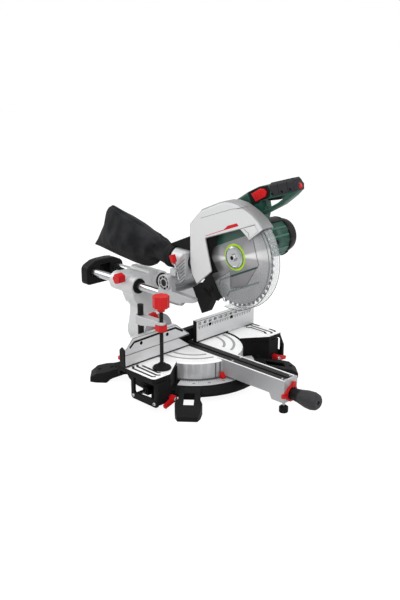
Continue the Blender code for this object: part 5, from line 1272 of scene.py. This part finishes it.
for side, paths in (("left", LEFT_STRIPES), ("right", RIGHT_STRIPES)):
    body, outlines = f"{side}_extension", [stripe(path, STRIPE) for path in paths]
    plates(f"{body}_stripes", outlines, Z, MARK_LOW, MARK_HIGH, body, "black_cast", "black_paint_and_shade")
plates("turntable_bands", BANDS, Z, MARK_LOW, MARK_HIGH, "turntable", "silver_paint", "band_grey")
print(len(LEFT_STRIPES) + len(RIGHT_STRIPES), "stripes,", len(BANDS), "bands")

# %% Fence lines
LINE_PROUD, LINE_DEEP = 0.00015, 0.0004


def fence_mark(name, outlines, body, finish, proud=LINE_PROUD, deep=LINE_DEEP):
    outlines = [lifted(outline) for outline in outlines]
    plates(name, outlines, Y, -proud, deep, body, "bare_aluminium", finish)


UPPER_LINE = mm((-225, 49), (-210, 61), (-123, 63.2), (-69, 63.2), (-42, 48))
UPPER_EDGE = mm((-238.5, 45.5), (-214.6, 71.5), (-66.5, 70.6), (-24, 37))
fence_mark("fence_outline", [stripe(UPPER_LINE, 0.0056)], "upper_fence", "black_paint_and_shade")
fence_mark("fence_edge_line", [stripe(UPPER_EDGE, 0.0014)], "upper_fence", "joint_and_shade_grey")
FOOT_LOW, FOOT_HIGH = 0.0006, 0.0042
FOOT_LINES = [bar((-0.2400, FOOT_LOW), (-0.0192, FOOT_HIGH)), bar((0.0092, FOOT_LOW), (0.1330, FOOT_HIGH))]
fence_mark("fence_foot_lines", FOOT_LINES, "base", "black_paint_and_shade")
TOP_LINE = mm((9.2, 60), (238.8, 60))
fence_mark("fence_top_line", [stripe(TOP_LINE, 0.0016)], "base", "joint_and_shade_grey")
SPLIT_LINE = bar((-0.2398, 0.0314), (-0.0192, 0.0329))
fence_mark("fence_split_line", [SPLIT_LINE], "base", "joint_and_shade_grey")
FENCE_HOLE = 0.0048
UPPER_HOLES, RIGHT_HOLES = mm((-187, 53), (-98, 53)), mm((60, 42), (145, 42))
# The fence holes are black discs: painted shade for the openings.
for side, body, spots in (("upper", "upper_fence", UPPER_HOLES), ("right", "base", RIGHT_HOLES)):
    plugs = [disc(spot, FENCE_HOLE) for spot in spots]
    fence_mark(f"fence_holes_{side}", plugs, body, "shade_black", 0.0001, 0.003)
# Painted shade: a black plate darkens the end face of the right fence.
end_face = lifted(bar((0.0002, 0.0010), (0.0138, 0.0608)))
plates("fence_end_shade", [end_face], X, 0.0087, 0.0094, "base", "bare_aluminium", "black_paint_and_shade")
print("fence lined")

# %% [markdown]
# ## Fence scale and mitre scale
# The right fence has a plain millimetre scale, and the ring round the turntable a scale of angles.
# Ticks are thin bars, set along the fence and round the ring. The numbers are flat text turned into
# thin meshes.

# %% Ticks and numbers
SCALE_STEP, FIRST_TICK, LAST_TICK, HOLE_CLEAR = 0.005, 3, 45, 0.0045
LONG_TICK, SHORT_TICK, TICK_HIGH = (0.0009, 0.0370), (0.0006, 0.0405), 0.0460
NUMBER_SIZE, NUMBER_THICK, NUMBER_RISE = 0.0112, 0.0001, 0.0523
NUMBER_WEIGHT = 0.022


def number(name, text, size, matrix):
    """Flat figures as a thin mesh, centred on the matrix's origin."""
    deselect()
    bpy.ops.object.text_add()
    obj = bpy.context.object
    obj.data.body = text
    obj.data.size = size
    obj.data.align_x, obj.data.align_y = "CENTER", "CENTER"
    obj.data.extrude = NUMBER_THICK
    obj.data.offset = size * NUMBER_WEIGHT
    obj.data.resolution_u = 3
    bpy.ops.object.convert(target="MESH")
    obj.name = name
    obj.data.transform(matrix)
    return in_edit(obj)


ticks = []
for i in range(FIRST_TICK, LAST_TICK + 1):
    x = i * SCALE_STEP
    wide, low = SHORT_TICK if i % 2 else LONG_TICK
    if min(abs(x - hole) for hole, _ in RIGHT_HOLES) > HOLE_CLEAR:
        ticks.append(bar((x - wide, low), (x + wide, TICK_HIGH)))
fence_mark("fence_scale_ticks", ticks, "base", "black_paint_and_shade")
upright = Matrix.Rotation(90 * DEG, 4, "X")
figures = []
for value in range(20, 201, 20):
    spot = Matrix.Translation((value / 1000, -NUMBER_THICK, TOP + NUMBER_RISE))
    figures.append(number(f"fence_number_{value}", str(value), NUMBER_SIZE, spot @ upright))
dress(as_one("fence_scale_numbers", figures), "base", "bare_aluminium", "black_paint_and_shade")
print(len(ticks), "fence ticks,", len(figures), "numbers")

# %% Mitre scale
RING_TOP, RING_IN = 0.0442, 0.1325
RING_GAP, RING_LONG, RING_SHORT, RING_WIDE = 0.0015, 0.011, 0.006, 0.0008
LABELS, LABEL_REACH, LABEL_SIZE = (-45, -30, -15, 0, 15, 30, 45), 0.1505, 0.0075
ring_ticks = []
for angle in range(-58, 59, 2):
    out, reach = heading(angle - 90), RING_SHORT if angle % 10 else RING_LONG
    ends = [tuple(out * (RING_IN + far)) for far in (RING_GAP, reach)]
    ring_ticks.append(stripe(ends, RING_WIDE))
low, high = RING_TOP - 0.0002, RING_TOP + 0.00012
plates("mitre_scale_ticks", ring_ticks, Z, low, high, "base", "bare_aluminium", "black_paint_and_shade")
labels = []
for value in LABELS:
    turn = Matrix.Rotation(value * DEG, 4, "Z")
    spot = turn @ Matrix.Translation((0, -LABEL_REACH, RING_TOP + 0.00005))
    labels.append(number(f"mitre_number_{value}", str(abs(value)), LABEL_SIZE, spot))
dress(as_one("mitre_scale_numbers", labels), "base", "bare_aluminium", "black_paint_and_shade")
print(len(ring_ticks), "mitre ticks,", len(labels), "angles")

# %% [markdown]
# ## Turntable and fasteners
# The turntable's wall is cast with shallow upright flutes, and its arm ends in a notched bracket.
# Screws hold the kerf plates, the rods of the extensions and the levers. A ray cast onto the casting
# finds the place of each hole.

# %% Wall ribs and arm end
WALL_LOW, WALL_HIGH, WALL_RADIUS = 0.0485, TOP - 0.0070, 0.130
WALL_ANGLES = [a for a in range(-172, 174, 9) if abs(a + 90) > 14 and abs(a - 90) > 26]
NARROW_HALF, WIDE_HALF = 1.15, 2.6
wall_ribs = []
for i, angle in enumerate(WALL_ANGLES):
    half = NARROW_HALF if i % 3 else WIDE_HALF
    wall_ribs.append(band((0, 0), WALL_RADIUS - 0.0015, WALL_RADIUS + 0.0005, angle - half, angle + half, 3))
plates("turntable_wall_ribs", wall_ribs, Z, WALL_LOW, WALL_HIGH, "turntable", "silver_paint", edge=0.0003)
WALL_GROOVES = [(-105.0, -103.2), (-110.6, -109.0)]
grooves = [band((0, 0), WALL_RADIUS - 0.001, WALL_RADIUS + 0.0006, *ends, 3) for ends in WALL_GROOVES]
plates("turntable_wall_grooves", grooves, Z, WALL_LOW, WALL_HIGH, "turntable", "silver_paint", "joint_and_shade_grey")
BRACKET = mm(
    (-23.5, -333.5), (23.5, -333.5), (23.5, -326.5), (7, -326.5), (7, -330), (-7, -330), (-7, -326.5),
    (-23.5, -326.5),
)
plates("arm_end_bracket", [BRACKET], Z, TOP - 0.0008, TOP + 0.0014, "turntable", "silver_paint", edge=0.0005)
print(len(wall_ribs), "wall ribs")

# %% Screws and holes of the table, extensions and legs
KERF_SCREWS = [(sign * 0.0150, y, TOP - 0.0008) for sign in (-1, 1) for y in (-0.318, -0.154)]
screws("kerf_screws", KERF_SCREWS, 0.0032, (0, 0, 1), "turntable")
FRAME_FACE, ROD_LEVEL = 0.240, 0.031
LEVERS = {"left": (-0.184, -0.1193), "right": (0.206, -0.1238)}
for side, sign in (("left", -1), ("right", 1)):
    rods = [(sign * FRAME_FACE, y, ROD_LEVEL) for y in (-0.029, -0.106)]
    screws(f"{side}_frame_screws", rods, 0.0045, (sign, 0, 0), f"{side}_extension")
    screws(f"{side}_lever_screw", [(*LEVERS[side], 0.030)], 0.0046, (0, -1, 0), f"{side}_extension_lever")
# Each hole is a black dished disc on the casting: painted shade for the opening.
HOLE = mm((0, 0.2), (3.4, 0.2), (4.2, 0.8), (5, 0.2), (5, -1), (0, -1))
hole_model = lathe("hole_model", HOLE, Z, (0, 0), 20)
WALL_HOLES = [((-0.183, -0.3, TOP - 0.020), (0, 1, 0)), ((0.179, -0.3, TOP - 0.016), (0, 1, 0))]
LEG_TURN = 42 * DEG
LEG_HOLES = [(-1, 1, 0.222), (-1, 1, 0.255), (1, 1, 0.222), (1, 1, 0.255), (1, -1, 0.262)]
rays = list(WALL_HOLES)
for across, back, reach in LEG_HOLES:
    spot = (across * reach * math.cos(LEG_TURN), back * reach * math.sin(LEG_TURN), 0.3)
    rays.append((spot, (0, 0, -1)))
holes = []
for i, (start, direction) in enumerate(rays):
    place, normal = surface("base_casting", start, direction)
    holes.append(copy_of(hole_model, f"base_hole_{i}", pointed(place, normal)))
dress(as_one("base_holes", holes), "base", "black_cast", "shade_black")
for helper in (hole_model, screw_model):
    bpy.data.objects.remove(helper)
print(len(holes), "holes,", len(KERF_SCREWS), "kerf screws")
